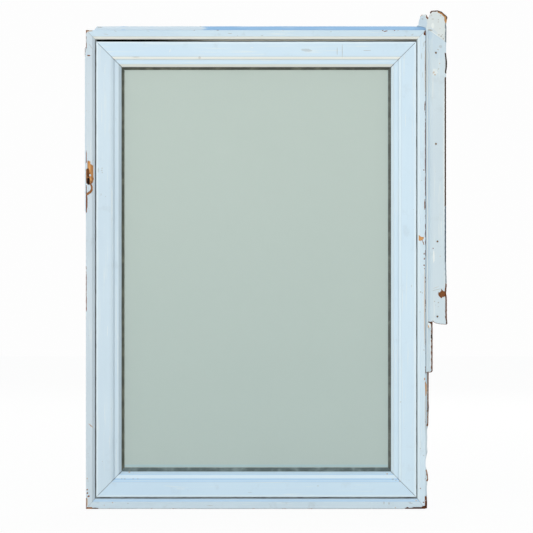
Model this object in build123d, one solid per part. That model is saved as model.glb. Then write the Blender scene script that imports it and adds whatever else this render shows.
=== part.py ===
from build123d import *
import os

# A painted wooden casement window taken out of its wall, with the sash shut. A slim mitred frame holds
# a mitred sash with one sealed double glass unit. Thin backing strips run round the frame's outer sides,
# and beside the right jamb hang the torn remains of a nailed side board.
#
# Units are millimetres. X runs across the window, Y from the weather side to the room side and Z up.
# The origin is the centre of the frame's underside. Left and right are as seen from outside.
# Cross sections are drawn in (u, v): u runs inward from a ring's outer edge and v into the room.

# Frame ring
FRAME_WIDTH = 678.0
FRAME_HEIGHT = 956.0
FRAME_DEPTH = 74.0  # weather face to the back of the frame members
FACE_WIDTH = 17.5  # thickness of a frame member, seen as its face
FACE_BEVEL_WIDTH = 5.5
FACE_BEVEL_DEPTH = 4.5
ARRIS_RADIUS = 1.5  # softened outer arris of frame and sash members
SEAL_GROOVE_START = 20.0  # depth at which the seal's groove starts
SEAL_GROOVE_WIDTH = 3.0
SEAL_GROOVE_DEPTH = 4.0

# Gap between frame and sash
SIDE_GAP = 2.5
HEAD_GAP = 5.0
SILL_GAP = 3.0

# Sash
SASH_SETBACK = 2.0  # weather face of the frame to that of the sash
SASH_THICKNESS = 44.0
SASH_FLAT = 28.0  # flat outer part of the sash face
OVOLO_WIDTH = 4.0
OVOLO_DEPTH = 4.0
BAND_WIDTH = 12.0  # shallow sunk band inside the ovolo
BAND_FALL = 1.0
LIP_WIDTH = 6.0  # sloping lip over the glass
LIP_FALL = 6.0
LIP_EDGE = 3.0  # thickness left at the lip's inner edge
REBATE_WIDTH = 12.0  # how far the lip covers the glass rebate

# Sealed glass unit and its fixing
GASKET_THICKNESS = 2.0
GASKET_PROUD = 5.5  # how far the gasket shows past the lip
GASKET_EDGE = 0.8  # thickness at the gasket's inner edge
GLASS_THICKNESS = 4.0
GLASS_CAVITY = 12.0
GLASS_CLEARANCE = 2.0  # glass edge to the rebate's wall
SPACER_WIDTH = 9.0
SPACER_INSET = 3.0  # spacer from the glass edge
BEAD_COVER = 15.0  # width of the room-side glazing bead
BEAD_BEVEL_WIDTH = 6.0
BEAD_EDGE = 2.5

# Room-side stops and jamb liners
STOP_GAP = 3.0  # sash back to the stop's face
STOP_WIDTH = 15.0
STOP_ROUND = 7.0
SEAL_WIDTH = 6.0
SEAL_SHARE = 0.7  # share of the side gap that the seal's leaf bridges
LINER_DEPTH = 42.0
LINER_THICKNESS = 19.0
LINER_ROUND = 2.0  # rounding of the liners' room-side edges

# Backing strips round the frame's outer sides
STRIP_START = 12.0  # depth at which the strips start
STRIP_DEPTH = 20.0
HEAD_STRIP_HEIGHT = 6.5
HEAD_STRIP_INSET = 15.0  # broken end of the head strip from the left outer side
RIGHT_STRIP_WIDTH = 7.5
LEFT_STRIP_WIDTH = 3.0
LEFT_STRIP_TOP_INSET = 35.0
LEFT_STRIP_FOOT = 60.0
STRIP_CORNER_RADIUS = 6.0
REMNANT_WIDTH = 3.5  # what is left of the right strip near the sill
REMNANT_TOP = 167.0

# Moulded cover strip beside the right jamb, laid on the backing strip
COVER_GAP = 3.0  # open valley between frame and cover strip
COVER_WIDTH = 11.5
CASING_START = 6.0  # depth of the face that cover strip, side board and plate share
COVER_FLAT = 3.5  # flat beside the valley
COVE_WIDTH = 4.0  # hollow between the flat and the outer land
COVE_DEPTH = 2.0
COVER_FOOT = 272.0
COVER_END_RADIUS = 6.0

# Torn side board outside the cover strip
BOARD_WIDTH = 28.5
BOARD_THICKNESS = 9.0
BOARD_BEVEL_WIDTH = 3.5  # bevel along the outer edge
BOARD_BEVEL_DEPTH = 2.5
BOARD_FOOT = 368.0
BOARD_TEAR = 6.0  # how far the torn foot rises beside the cover strip
BOARD_FLARE = 2.0  # how far the torn foot stands out at its outer corner
BOARD_FLARE_HEIGHT = 22.0
NAIL_RADIUS = 2.0
UPPER_NAIL_DROP = 45.0  # first nail of a pair below the frame's top
UPPER_NAIL_PITCH = 182.0
UPPER_NAIL_INSET = 6.5  # nail line from the cover strip
LOWER_NAIL_DROP = 422.0
LOWER_NAIL_PITCH = 150.0
LOWER_NAIL_INSET = 9.5

# Broken corner plate over the top right corner, mitred to the side board
MITRE_RISE = 3.0  # mitre above the frame's top at the cover strip's inner edge
MITRE_DROP = 25.5  # and below it at the board's outer edge
PLATE_RISE = 40.0  # top of the outer lobe above the frame's top
PLATE_OVERLAP = 14.0  # how far the inner lobe runs back over the head
PLATE_LEAN = 5.0  # lean of the inner lobe's broken side
LOBE_RISE = 33.0  # top of the inner lobe
LOBE_ROUND = 2.5
NOTCH_RISE = 25.0  # foot of the notch between the lobes
NOTCH_OFFSET = 6.0  # centre of the notch from the frame's outer side
NOTCH_FOOT_WIDTH = 2.5
NOTCH_TOP_WIDTH = 10.0
CUT_WIDTH = 18.0  # slanting cut at the outer corner
CUT_HEIGHT = 11.0
CUT_BOW = 1.5
PLATE_FLARE = 1.0  # how far the broken corner stands out beyond the board
PLATE_FLARE_HEIGHT = 20.0
RAW_EDGE = 4.0  # bare wood slope along the slanting cut

# Damage to the frame members
CHIP_HEIGHT = 48.0
CHIP_WIDTH = 14.0
CHIP_DEPTH = 2.5  # at the chip's top
CHIP_SLOPE = 4.0  # degrees by which the chip deepens towards its foot
CHIP_TOP_DROP = 261.0  # top of the chip below the frame's top
HOLLOW_WIDTH = 5.0  # rotten hollow at the chip's foot
HOLLOW_HEIGHT = 11.0
HOLLOW_DEPTH = 9.0
HOLLOW_INSET = 4.0  # its centre from the jamb's outer side
HOLLOW_DROP = 41.0  # and below the chip's top
BITE_CENTRE = 93.0
BITE_RADIUS = 40.0
BITE_WIDTH = 0.8
BITE_DEPTH = 8.0
SPLIT_HEIGHT = 5.0  # wood broken off the lower right corner
SPLIT_WIDTH = 9.0
SPLIT_DEPTH = 5.0

# Crank operator on the sill stop
OPERATOR_LENGTH = 118.0
OPERATOR_REACH = 25.0  # how far the cover stands into the room from the stop
OPERATOR_HEIGHT = 30.0
OPERATOR_SLOPE = 13.0
OPERATOR_ROUND = 4.0
OPERATOR_OFFSET = -170.0
OPERATOR_GAP = 5.0  # sash back to the cover
HUB_RADIUS = 7.0
HUB_LENGTH = 8.0
CRANK_LENGTH = 74.0
CRANK_WIDTH = 11.0
CRANK_TIP_WIDTH = 8.0
CRANK_THICKNESS = 5.0
KNOB_RADIUS = 8.0
KNOB_LENGTH = 20.0
KNOB_NECK_RADIUS = 4.0
KNOB_NECK_LENGTH = 5.0
KNOB_ROUND = 3.0

# Sash lock on the right stop
LOCK_HEIGHT_SHARE = 0.42  # lock's height as a share of the frame's
LOCK_PLATE_LENGTH = 108.0
LOCK_PLATE_WIDTH = 12.0
LOCK_PLATE_THICKNESS = 3.0
LOCK_BOSS_RADIUS = 5.5
LOCK_BOSS_LENGTH = 9.0
LEVER_LENGTH = 62.0
LEVER_WIDTH = 10.0
LEVER_TIP_WIDTH = 7.0
LEVER_THICKNESS = 4.5

# Places worked out from the sizes above
TOTAL_DEPTH = FRAME_DEPTH + LINER_DEPTH
FRONT = -TOTAL_DEPTH / 2
HALF_WIDTH = FRAME_WIDTH / 2
SASH_WIDTH = FRAME_WIDTH - 2 * (FACE_WIDTH + SIDE_GAP)
SASH_FOOT = FACE_WIDTH + SILL_GAP
SASH_HEIGHT = FRAME_HEIGHT - SASH_FOOT - FACE_WIDTH - HEAD_GAP
SASH_BACK = SASH_SETBACK + SASH_THICKNESS
BAND_START = SASH_FLAT + OVOLO_WIDTH
LIP_START = BAND_START + BAND_WIDTH
SASH_FACE = LIP_START + LIP_WIDTH
BAND_DEPTH = SASH_SETBACK + OVOLO_DEPTH
LIP_DEPTH = BAND_DEPTH + BAND_FALL
LIP_FOOT = LIP_DEPTH + LIP_FALL
SEAT_DEPTH = LIP_FOOT + LIP_EDGE
REBATE_WALL = SASH_FACE - REBATE_WIDTH
GLASS_EDGE = REBATE_WALL + GLASS_CLEARANCE
OUTER_GLASS = SEAT_DEPTH + GASKET_THICKNESS
CAVITY_START = OUTER_GLASS + GLASS_THICKNESS
INNER_GLASS = CAVITY_START + GLASS_CAVITY
GLASS_BACK = INNER_GLASS + GLASS_THICKNESS
STOP_START = SASH_BACK + STOP_GAP
STRIP_SIDE = HALF_WIDTH + RIGHT_STRIP_WIDTH
HEAD_STRIP_TOP = FRAME_HEIGHT + HEAD_STRIP_HEIGHT
COVER_SIDE = HALF_WIDTH + COVER_GAP
BOARD_SIDE = COVER_SIDE + COVER_WIDTH
BOARD_EDGE = BOARD_SIDE + BOARD_WIDTH
MITRE_TOP = FRAME_HEIGHT + MITRE_RISE
MITRE_FOOT = FRAME_HEIGHT - MITRE_DROP

# Outlines of broken edges, each point as (share of width, share of height)
CHIP_OUTLINE = [
    (0.32, 0.0), (0.54, 0.04), (0.6, 0.13), (1.0, 0.2), (1.0, 0.67), (1.06, 0.76),
    (0.74, 0.96), (0.32, 1.0), (0.0, 0.93), (0.0, 0.36), (0.14, 0.33), (0.14, 0.04),
]
TEAR_OUTLINE = [(0.0, 1.0), (0.18, 0.5), (0.45, 0.12), (0.93, 0.0)]
REMNANT_OUTLINE = [(1.0, 0.94), (1.25, 0.68), (0.1, 0.55), (1.65, 0.36), (1.0, 0.24), (1.1, 0.0)]

# A ring is (width, height, foot): the outer size of four mitred members and the height it starts at
FRAME_RING = (FRAME_WIDTH, FRAME_HEIGHT, 0.0)
SASH_RING = (SASH_WIDTH, SASH_HEIGHT, SASH_FOOT)
SIDES = ("top", "bottom", "left", "right")


def section(*edges):
    """Face of a closed outline given by its edges in order."""
    return make_face(list(edges))


def polygon(points):
    """Face of a closed outline with straight sides."""
    return make_face(Polyline(*points, close=True))


def block(low_u, high_u, low_v, high_v):
    """Rectangular cross section in (u, v)."""
    return polygon([(low_u, low_v), (high_u, low_v), (high_u, high_v), (low_u, high_v)])


def upright(face, start, thickness):
    """Flat piece from a face drawn in (x, z), starting at a depth behind the weather face."""
    return Pos(0, FRONT + start + thickness, 0) * extrude(Plane.XZ * face, amount=thickness)


def box_at(low, high):
    """Box between two corners."""
    size = [b - a for a, b in zip(low, high)]
    return Pos(*low) * Box(*size, align=(Align.MIN, Align.MIN, Align.MIN))


def member(face, ring, side):
    """One mitred member of a ring, with the given cross section."""
    width, height, foot = ring
    middle = foot + height / 2
    places = {
        "top": (Plane((0, FRONT, foot + height), x_dir=(0, 0, -1), z_dir=(1, 0, 0)), width),
        "bottom": (Plane((0, FRONT, foot), x_dir=(0, 0, 1), z_dir=(-1, 0, 0)), width),
        "left": (Plane((-width / 2, FRONT, middle), x_dir=(1, 0, 0), z_dir=(0, 0, 1)), height),
        "right": (Plane((width / 2, FRONT, middle), x_dir=(-1, 0, 0), z_dir=(0, 0, -1)), height),
    }
    plane, length = places[side]
    reach = face.bounding_box().max.X
    half = length / 2
    mitre = polygon([(0, -half), (0, half), (reach, half - reach), (reach, reach - half)])
    side_plane = Plane(plane.origin, x_dir=plane.x_dir, z_dir=-plane.y_dir)
    bar = extrude(plane * face, amount=half, both=True)
    wedge = extrude(side_plane * mitre, amount=2 * TOTAL_DEPTH, both=True)
    return bar & wedge


def ring_of(face, ring):
    """A closed ring fused from its four mitred members."""
    return Part() + [member(face, ring, side) for side in SIDES]


def frame_section():
    """Frame member: softened arris, flat face, bevel beside the sash and a groove for the seal."""
    arris = CenterArc((ARRIS_RADIUS, ARRIS_RADIUS), ARRIS_RADIUS, 180, 90)
    rest = Polyline(
        (ARRIS_RADIUS, 0),
        (FACE_WIDTH - FACE_BEVEL_WIDTH, 0),
        (FACE_WIDTH, FACE_BEVEL_DEPTH),
        (FACE_WIDTH, FRAME_DEPTH),
        (0, FRAME_DEPTH),
        (0, ARRIS_RADIUS),
    )
    groove = block(
        FACE_WIDTH - SEAL_GROOVE_DEPTH,
        FACE_WIDTH,
        SEAL_GROOVE_START,
        SEAL_GROOVE_START + SEAL_GROOVE_WIDTH,
    )
    return section(arris, rest) - groove


def sash_section():
    """Sash member: flat face, ovolo step, sunk band, sloping lip and a rebate for the glass."""
    arris_end = SASH_SETBACK + ARRIS_RADIUS
    arris = CenterArc((ARRIS_RADIUS, arris_end), ARRIS_RADIUS, 180, 90)
    flat = Line((ARRIS_RADIUS, SASH_SETBACK), (SASH_FLAT, SASH_SETBACK))
    ovolo = EllipticalCenterArc(
        (SASH_FLAT, BAND_DEPTH), OVOLO_WIDTH, OVOLO_DEPTH, start_angle=270, arc_size=90
    )
    rest = Polyline(
        (BAND_START, BAND_DEPTH),
        (LIP_START, LIP_DEPTH),
        (SASH_FACE, LIP_FOOT),
        (SASH_FACE, SEAT_DEPTH),
        (REBATE_WALL, SEAT_DEPTH),
        (REBATE_WALL, SASH_BACK),
        (0, SASH_BACK),
        (0, arris_end),
    )
    return section(arris, flat, ovolo, rest)


def bead_section():
    """Room-side glazing bead with a bevelled inner edge."""
    inner = REBATE_WALL + BEAD_COVER
    return polygon(
        [
            (REBATE_WALL, GLASS_BACK),
            (inner, GLASS_BACK),
            (inner, GLASS_BACK + BEAD_EDGE),
            (inner - BEAD_BEVEL_WIDTH, SASH_BACK),
            (REBATE_WALL, SASH_BACK),
        ]
    )


def gasket_section():
    """Soft wedge between the sash lip and the outer glass."""
    inner = SASH_FACE + GASKET_PROUD
    return polygon(
        [
            (GLASS_EDGE, SEAT_DEPTH),
            (SASH_FACE, SEAT_DEPTH),
            (inner, OUTER_GLASS - GASKET_EDGE),
            (inner, OUTER_GLASS),
            (GLASS_EDGE, OUTER_GLASS),
        ]
    )


def stop_section():
    """Room-side stop with a rounded inner edge."""
    inner = FACE_WIDTH + STOP_WIDTH
    turn = FRAME_DEPTH - STOP_ROUND
    edge = Line((FACE_WIDTH, STOP_START), (inner, STOP_START))
    side = Line((inner, STOP_START), (inner, turn))
    rounded = CenterArc((inner - STOP_ROUND, turn), STOP_ROUND, 0, 90)
    back = Polyline(
        (inner - STOP_ROUND, FRAME_DEPTH), (FACE_WIDTH, FRAME_DEPTH), (FACE_WIDTH, STOP_START)
    )
    return section(edge, side, rounded, back)


def seal_section():
    """Leaf seal: a stem in the frame's groove and a leaf that bridges most of the gap."""
    stem = block(
        FACE_WIDTH - SEAL_GROOVE_DEPTH,
        FACE_WIDTH,
        SEAL_GROOVE_START,
        SEAL_GROOVE_START + SEAL_GROOVE_WIDTH,
    )
    leaf = block(
        FACE_WIDTH,
        FACE_WIDTH + SIDE_GAP * SEAL_SHARE,
        SEAL_GROOVE_START,
        SEAL_GROOVE_START + SEAL_WIDTH,
    )
    return stem + leaf


def frame_members():
    """Head, sill and jambs, with the damage to both jambs and the broken lower right corner."""
    face = frame_section()
    broken = broken_corner()
    return {
        "frame_head": member(face, FRAME_RING, "top"),
        "frame_sill": member(face, FRAME_RING, "bottom") - broken,
        "frame_jamb_left": member(face, FRAME_RING, "left") - jamb_chip() - jamb_hollow(),
        "frame_jamb_right": member(face, FRAME_RING, "right") - jamb_bite() - broken,
    }


def jamb_chip():
    """Splintered chip in the left jamb's face, its floor sloping deeper towards the foot."""
    outline = [(across * CHIP_WIDTH, -down * CHIP_HEIGHT) for across, down in CHIP_OUTLINE]
    cut = extrude(Plane.XZ * polygon(outline), amount=CHIP_HEIGHT)
    top = FRAME_HEIGHT - CHIP_TOP_DROP
    return Pos(-HALF_WIDTH, FRONT + CHIP_DEPTH, top) * Rot(X=CHIP_SLOPE) * cut


def jamb_hollow():
    """Rotten hollow near the chip's foot."""
    height = FRAME_HEIGHT - CHIP_TOP_DROP - HOLLOW_DROP
    mouth = Pos(HOLLOW_INSET - HALF_WIDTH, height) * Ellipse(HOLLOW_WIDTH / 2, HOLLOW_HEIGHT / 2)
    return upright(mouth, 0, HOLLOW_DEPTH)


def jamb_bite():
    """Shallow round bite out of the right jamb's outer arris."""
    centre = HALF_WIDTH + BITE_RADIUS - BITE_WIDTH
    return upright(Pos(centre, BITE_CENTRE) * Circle(BITE_RADIUS), 0, BITE_DEPTH)


def broken_corner():
    """Wood broken off the frame's lower right corner."""
    outline = [(HALF_WIDTH, 0), (HALF_WIDTH, SPLIT_HEIGHT), (HALF_WIDTH - SPLIT_WIDTH, 0)]
    return upright(polygon(outline), 0, SPLIT_DEPTH)


def sash_members():
    """Rails and stiles, mitred at the corners."""
    face = sash_section()
    names = ("sash_top_rail", "sash_bottom_rail", "sash_stile_left", "sash_stile_right")
    return {name: member(face, SASH_RING, side) for name, side in zip(names, SIDES)}


def glass_sheet(start):
    """One sheet of the sealed unit."""
    half = SASH_WIDTH / 2 - GLASS_EDGE
    return box_at(
        (-half, FRONT + start, SASH_FOOT + GLASS_EDGE),
        (half, FRONT + start + GLASS_THICKNESS, SASH_FOOT + SASH_HEIGHT - GLASS_EDGE),
    )


def glazing():
    """Both glass sheets, the spacer between them, the gasket and the four beads."""
    spacer_edge = GLASS_EDGE + SPACER_INSET
    spacer = block(spacer_edge, spacer_edge + SPACER_WIDTH, CAVITY_START, INNER_GLASS)
    parts = {
        "glass_outer": glass_sheet(OUTER_GLASS),
        "glass_inner": glass_sheet(INNER_GLASS),
        "glass_spacer": ring_of(spacer, SASH_RING),
        "glass_gasket": ring_of(gasket_section(), SASH_RING),
    }
    for side in SIDES:
        parts[f"glazing_bead_{side}"] = member(bead_section(), SASH_RING, side)
    return parts


def stops_and_seal():
    """Room-side stops and the leaf seal in the frame's groove."""
    parts = {f"stop_{side}": member(stop_section(), FRAME_RING, side) for side in SIDES}
    parts["leaf_seal"] = ring_of(seal_section(), FRAME_RING)
    return parts


def eased(liner, run, inward):
    """Liner with its inner room-side edge rounded: run is its length, inward points to the opening."""
    room_edges = liner.edges().filter_by(run).group_by(Axis.Y)[-1]
    return fillet(room_edges.sort_by(inward)[-1], LINER_ROUND)


def liners():
    """Jamb liners that carry the frame to the room side: head and sill run through, sides between."""
    back = FRONT + FRAME_DEPTH
    room = back + LINER_DEPTH
    low = LINER_THICKNESS
    high = FRAME_HEIGHT - LINER_THICKNESS
    side = HALF_WIDTH - LINER_THICKNESS
    head = box_at((-HALF_WIDTH, back, high), (HALF_WIDTH, room, FRAME_HEIGHT))
    sill = box_at((-HALF_WIDTH, back, 0), (HALF_WIDTH, room, low))
    left = box_at((-HALF_WIDTH, back, low), (-side, room, high))
    right = box_at((side, back, low), (HALF_WIDTH, room, high))
    return {
        "liner_head": eased(head, Axis.X, -Axis.Z),
        "liner_sill": eased(sill, Axis.X, Axis.Z),
        "liner_left": eased(left, Axis.Z, Axis.X),
        "liner_right": eased(right, Axis.Z, -Axis.X),
    }


def head_strip():
    """Strip over the head: broken off at the left, rounded at the right corner."""
    start = -HALF_WIDTH + HEAD_STRIP_INSET
    turn_x = STRIP_SIDE - STRIP_CORNER_RADIUS
    turn_z = HEAD_STRIP_TOP - STRIP_CORNER_RADIUS
    corner = CenterArc((turn_x, turn_z), STRIP_CORNER_RADIUS, 0, 90)
    rest = Polyline(
        (turn_x, HEAD_STRIP_TOP),
        (start + HEAD_STRIP_HEIGHT, HEAD_STRIP_TOP),
        (start, FRAME_HEIGHT),
        (STRIP_SIDE, FRAME_HEIGHT),
        (STRIP_SIDE, turn_z),
    )
    return upright(section(corner, rest), STRIP_START, STRIP_DEPTH)


def left_strip():
    """Thin strip down the left side, with slanting ends."""
    outer = -HALF_WIDTH - LEFT_STRIP_WIDTH
    top = FRAME_HEIGHT - LEFT_STRIP_TOP_INSET
    outline = [
        (-HALF_WIDTH, LEFT_STRIP_FOOT),
        (outer, LEFT_STRIP_FOOT + LEFT_STRIP_WIDTH),
        (outer, top),
        (-HALF_WIDTH, top + LEFT_STRIP_WIDTH),
    ]
    return upright(polygon(outline), STRIP_START, STRIP_DEPTH)


def right_strip():
    """Strip down the right side: whole down to its break, then a thin wavy remnant."""
    wave = [
        (HALF_WIDTH + across * REMNANT_WIDTH, up * REMNANT_TOP) for across, up in REMNANT_OUTLINE
    ]
    straight = Polyline(
        wave[-1],
        (HALF_WIDTH, 0),
        (HALF_WIDTH, FRAME_HEIGHT),
        (STRIP_SIDE, FRAME_HEIGHT),
        (STRIP_SIDE, REMNANT_TOP),
    )
    ragged = Spline((STRIP_SIDE, REMNANT_TOP), *wave)
    return upright(section(straight, ragged), STRIP_START, STRIP_DEPTH)


def backing_strips():
    """Thin strips on the frame's outer sides."""
    return {"strip_head": head_strip(), "strip_left": left_strip(), "strip_right": right_strip()}


def mitre_height(x):
    """Height of the mitre between corner plate and side boarding at a place across."""
    slope = (MITRE_TOP - MITRE_FOOT) / (BOARD_EDGE - COVER_SIDE)
    return MITRE_TOP - slope * (x - COVER_SIDE)


def cover_section():
    """Moulded profile in plan, as (x, depth): a flat, a hollow and an outer land."""
    flat_end = COVER_SIDE + COVER_FLAT
    cove_end = flat_end + COVE_WIDTH
    cove = SagittaArc((flat_end, CASING_START), (cove_end, CASING_START), COVE_DEPTH)
    rest = Polyline(
        (cove_end, CASING_START),
        (BOARD_SIDE, CASING_START),
        (BOARD_SIDE, STRIP_START),
        (COVER_SIDE, STRIP_START),
        (COVER_SIDE, CASING_START),
        (flat_end, CASING_START),
    )
    return section(cove, rest)


def cover_strip():
    """Moulded strip laid on the backing strip, mitred at its top and with a rounded foot."""
    bar = Pos(0, FRONT, 0) * extrude(cover_section(), amount=MITRE_TOP)
    turn_x = BOARD_SIDE - COVER_END_RADIUS
    turn_z = COVER_FOOT + COVER_END_RADIUS
    corner = CenterArc((turn_x, turn_z), COVER_END_RADIUS, 270, 90)
    rest = Polyline(
        (BOARD_SIDE, turn_z),
        (BOARD_SIDE, mitre_height(BOARD_SIDE)),
        (COVER_SIDE, MITRE_TOP),
        (COVER_SIDE, COVER_FOOT),
        (turn_x, COVER_FOOT),
    )
    return bar & upright(section(corner, rest), 0, TOTAL_DEPTH)


def outer_bevel():
    """Wedge that bevels the outer edge of side board and corner plate."""
    beyond = BOARD_EDGE + BOARD_BEVEL_WIDTH
    corner = (BOARD_EDGE - BOARD_BEVEL_WIDTH, FRONT + CASING_START)
    plan = [corner, (beyond, corner[1]), (beyond, corner[1] + 2 * BOARD_BEVEL_DEPTH)]
    return extrude(polygon(plan), amount=FRAME_HEIGHT + PLATE_RISE)


def nail_holes(drop, pitch, inset):
    """A pair of nail holes through the side board."""
    top = FRAME_HEIGHT - drop
    mouths = [Pos(BOARD_SIDE + inset, height) * Circle(NAIL_RADIUS) for height in (top, top - pitch)]
    return [upright(mouth, CASING_START, BOARD_THICKNESS) for mouth in mouths]


def side_board():
    """Flat board outside the cover strip, with nail holes and a torn foot."""
    tear = [
        (BOARD_SIDE + across * BOARD_WIDTH, BOARD_FOOT + up * BOARD_TEAR) for across, up in TEAR_OUTLINE
    ]
    outer = Polyline(
        tear[-1],
        (BOARD_EDGE + BOARD_FLARE, BOARD_FOOT + BOARD_FLARE),
        (BOARD_EDGE, BOARD_FOOT + BOARD_FLARE_HEIGHT),
        (BOARD_EDGE, MITRE_FOOT),
        (BOARD_SIDE, mitre_height(BOARD_SIDE)),
        tear[0],
    )
    board = upright(section(Spline(*tear), outer), CASING_START, BOARD_THICKNESS)
    board -= nail_holes(UPPER_NAIL_DROP, UPPER_NAIL_PITCH, UPPER_NAIL_INSET)
    board -= nail_holes(LOWER_NAIL_DROP, LOWER_NAIL_PITCH, LOWER_NAIL_INSET)
    return board - outer_bevel()


def corner_plate():
    """Broken plate over the top right corner: two lobes with a notch between, bare along its cut."""
    top = FRAME_HEIGHT + PLATE_RISE
    lobe = FRAME_HEIGHT + LOBE_RISE
    notch = FRAME_HEIGHT + NOTCH_RISE
    inner = HALF_WIDTH - PLATE_OVERLAP
    centre = HALF_WIDTH + NOTCH_OFFSET
    cut_start = (BOARD_EDGE - CUT_WIDTH, top)
    cut_end = (BOARD_EDGE + PLATE_FLARE, top - CUT_HEIGHT)
    cut = SagittaArc(cut_start, cut_end, CUT_BOW)
    rest = Polyline(
        cut_end,
        (BOARD_EDGE, top - CUT_HEIGHT - PLATE_FLARE_HEIGHT),
        (BOARD_EDGE, MITRE_FOOT),
        (STRIP_SIDE, mitre_height(STRIP_SIDE)),
        (STRIP_SIDE, HEAD_STRIP_TOP),
        (inner, HEAD_STRIP_TOP),
        (inner + PLATE_LEAN, lobe - LOBE_ROUND),
        (inner + PLATE_LEAN + LOBE_ROUND, lobe),
        (centre - NOTCH_TOP_WIDTH / 2, lobe),
        (centre - NOTCH_FOOT_WIDTH / 2, notch),
        (centre + NOTCH_FOOT_WIDTH / 2, notch),
        (centre + NOTCH_TOP_WIDTH / 2, top),
        cut_start,
    )
    plate = upright(section(cut, rest), CASING_START, BOARD_THICKNESS)
    bare = plate.edges().filter_by(GeomType.CIRCLE).sort_by(Axis.Y)[0]
    return chamfer(bare, RAW_EDGE) - outer_bevel()


def side_boarding():
    """Everything that hangs beside the right jamb."""
    return {"cover_strip": cover_strip(), "side_board": side_board(), "corner_plate": corner_plate()}


def tapered_arm(length, width, tip_width, thickness):
    """Flat arm with round ends, from the origin along +X, lying on the XY plane."""
    hub = Circle(width / 2)
    tip = Pos(length, 0) * Circle(tip_width / 2)
    return extrude(make_hull((hub + tip).edges()), amount=thickness)


def post(radius, length):
    """Round post standing on the XY plane."""
    return Cylinder(radius, length, align=(Align.CENTER, Align.CENTER, Align.MIN))


def operator_cover():
    """Cast cover that wraps over the sill stop and seats on the liner, with rounded edges."""
    back = FRONT + SASH_BACK + OPERATOR_GAP
    room = FRONT + FRAME_DEPTH + OPERATOR_REACH
    foot = LINER_THICKNESS
    top = foot + OPERATOR_HEIGHT
    profile = [
        (back, foot),
        (room, foot),
        (room, top - OPERATOR_SLOPE),
        (room - OPERATOR_SLOPE, top),
        (back, top),
    ]
    cover = extrude(Plane.YZ * polygon(profile), amount=OPERATOR_LENGTH / 2, both=True)
    cover = fillet(cover.edges().group_by(Axis.Z)[1:], OPERATOR_ROUND)
    return Pos(OPERATOR_OFFSET, 0, 0) * cover - member(stop_section(), FRAME_RING, "bottom")


def knob():
    """Turned knob: a neck, a flared shoulder and a barrel with a rounded end."""
    shoulder = KNOB_NECK_LENGTH + KNOB_RADIUS - KNOB_NECK_RADIUS
    turn_r = KNOB_RADIUS - KNOB_ROUND
    turn_z = KNOB_LENGTH - KNOB_ROUND
    side = Polyline(
        (turn_r, KNOB_LENGTH),
        (0, KNOB_LENGTH),
        (0, 0),
        (KNOB_NECK_RADIUS, 0),
        (KNOB_NECK_RADIUS, KNOB_NECK_LENGTH),
        (KNOB_RADIUS, shoulder),
        (KNOB_RADIUS, turn_z),
    )
    end = CenterArc((turn_r, turn_z), KNOB_ROUND, 0, 90)
    return revolve(Plane.XZ * section(side, end), Axis.Z)


def crank_operator():
    """Operator cover with its folding crank, which stands out square to the sloping face."""
    middle = (
        OPERATOR_OFFSET,
        FRONT + FRAME_DEPTH + OPERATOR_REACH - OPERATOR_SLOPE / 2,
        LINER_THICKNESS + OPERATOR_HEIGHT - OPERATOR_SLOPE / 2,
    )
    out = Plane(middle, x_dir=(1, 0, 0), z_dir=(0, 1, 1))
    arm = out.offset(HUB_LENGTH) * tapered_arm(
        CRANK_LENGTH, CRANK_WIDTH, CRANK_TIP_WIDTH, CRANK_THICKNESS
    )
    tip = out.offset(HUB_LENGTH + CRANK_THICKNESS) * Pos(CRANK_LENGTH, 0, 0)
    return {
        "operator_cover": operator_cover(),
        "crank_arm": out * post(HUB_RADIUS, HUB_LENGTH) + arm,
        "crank_knob": tip * knob(),
    }


def sash_lock():
    """Lever lock on the right stop, its lever pointing down."""
    middle = HALF_WIDTH - FACE_WIDTH - STOP_WIDTH / 2
    height = FRAME_HEIGHT * LOCK_HEIGHT_SHARE
    out = Plane((middle, FRONT + FRAME_DEPTH, height), x_dir=(0, 0, -1), z_dir=(0, 1, 0))
    plate = extrude(SlotOverall(LOCK_PLATE_LENGTH, LOCK_PLATE_WIDTH), amount=LOCK_PLATE_THICKNESS)
    boss = Pos(0, 0, LOCK_PLATE_THICKNESS) * post(LOCK_BOSS_RADIUS, LOCK_BOSS_LENGTH)
    lever = Pos(0, 0, LOCK_PLATE_THICKNESS + LOCK_BOSS_LENGTH) * tapered_arm(
        LEVER_LENGTH, LEVER_WIDTH, LEVER_TIP_WIDTH, LEVER_THICKNESS
    )
    return {"lock_plate": out * plate, "lock_lever": out * (boss + lever)}


def window():
    """Every piece of the window by name."""
    parts = {}
    for group in (
        frame_members,
        sash_members,
        glazing,
        stops_and_seal,
        liners,
        backing_strips,
        side_boarding,
        crank_operator,
        sash_lock,
    ):
        parts.update(group())
    return parts


os.makedirs("parts", exist_ok=True)
for name, shape in window().items():
    export_step(shape, f"parts/{name}.step")
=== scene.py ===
import logging
import math
from dataclasses import dataclass
from enum import Enum
from typing import Callable, Sequence

import bmesh
import bpy
import numpy as np
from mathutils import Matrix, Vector, geometry


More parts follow.
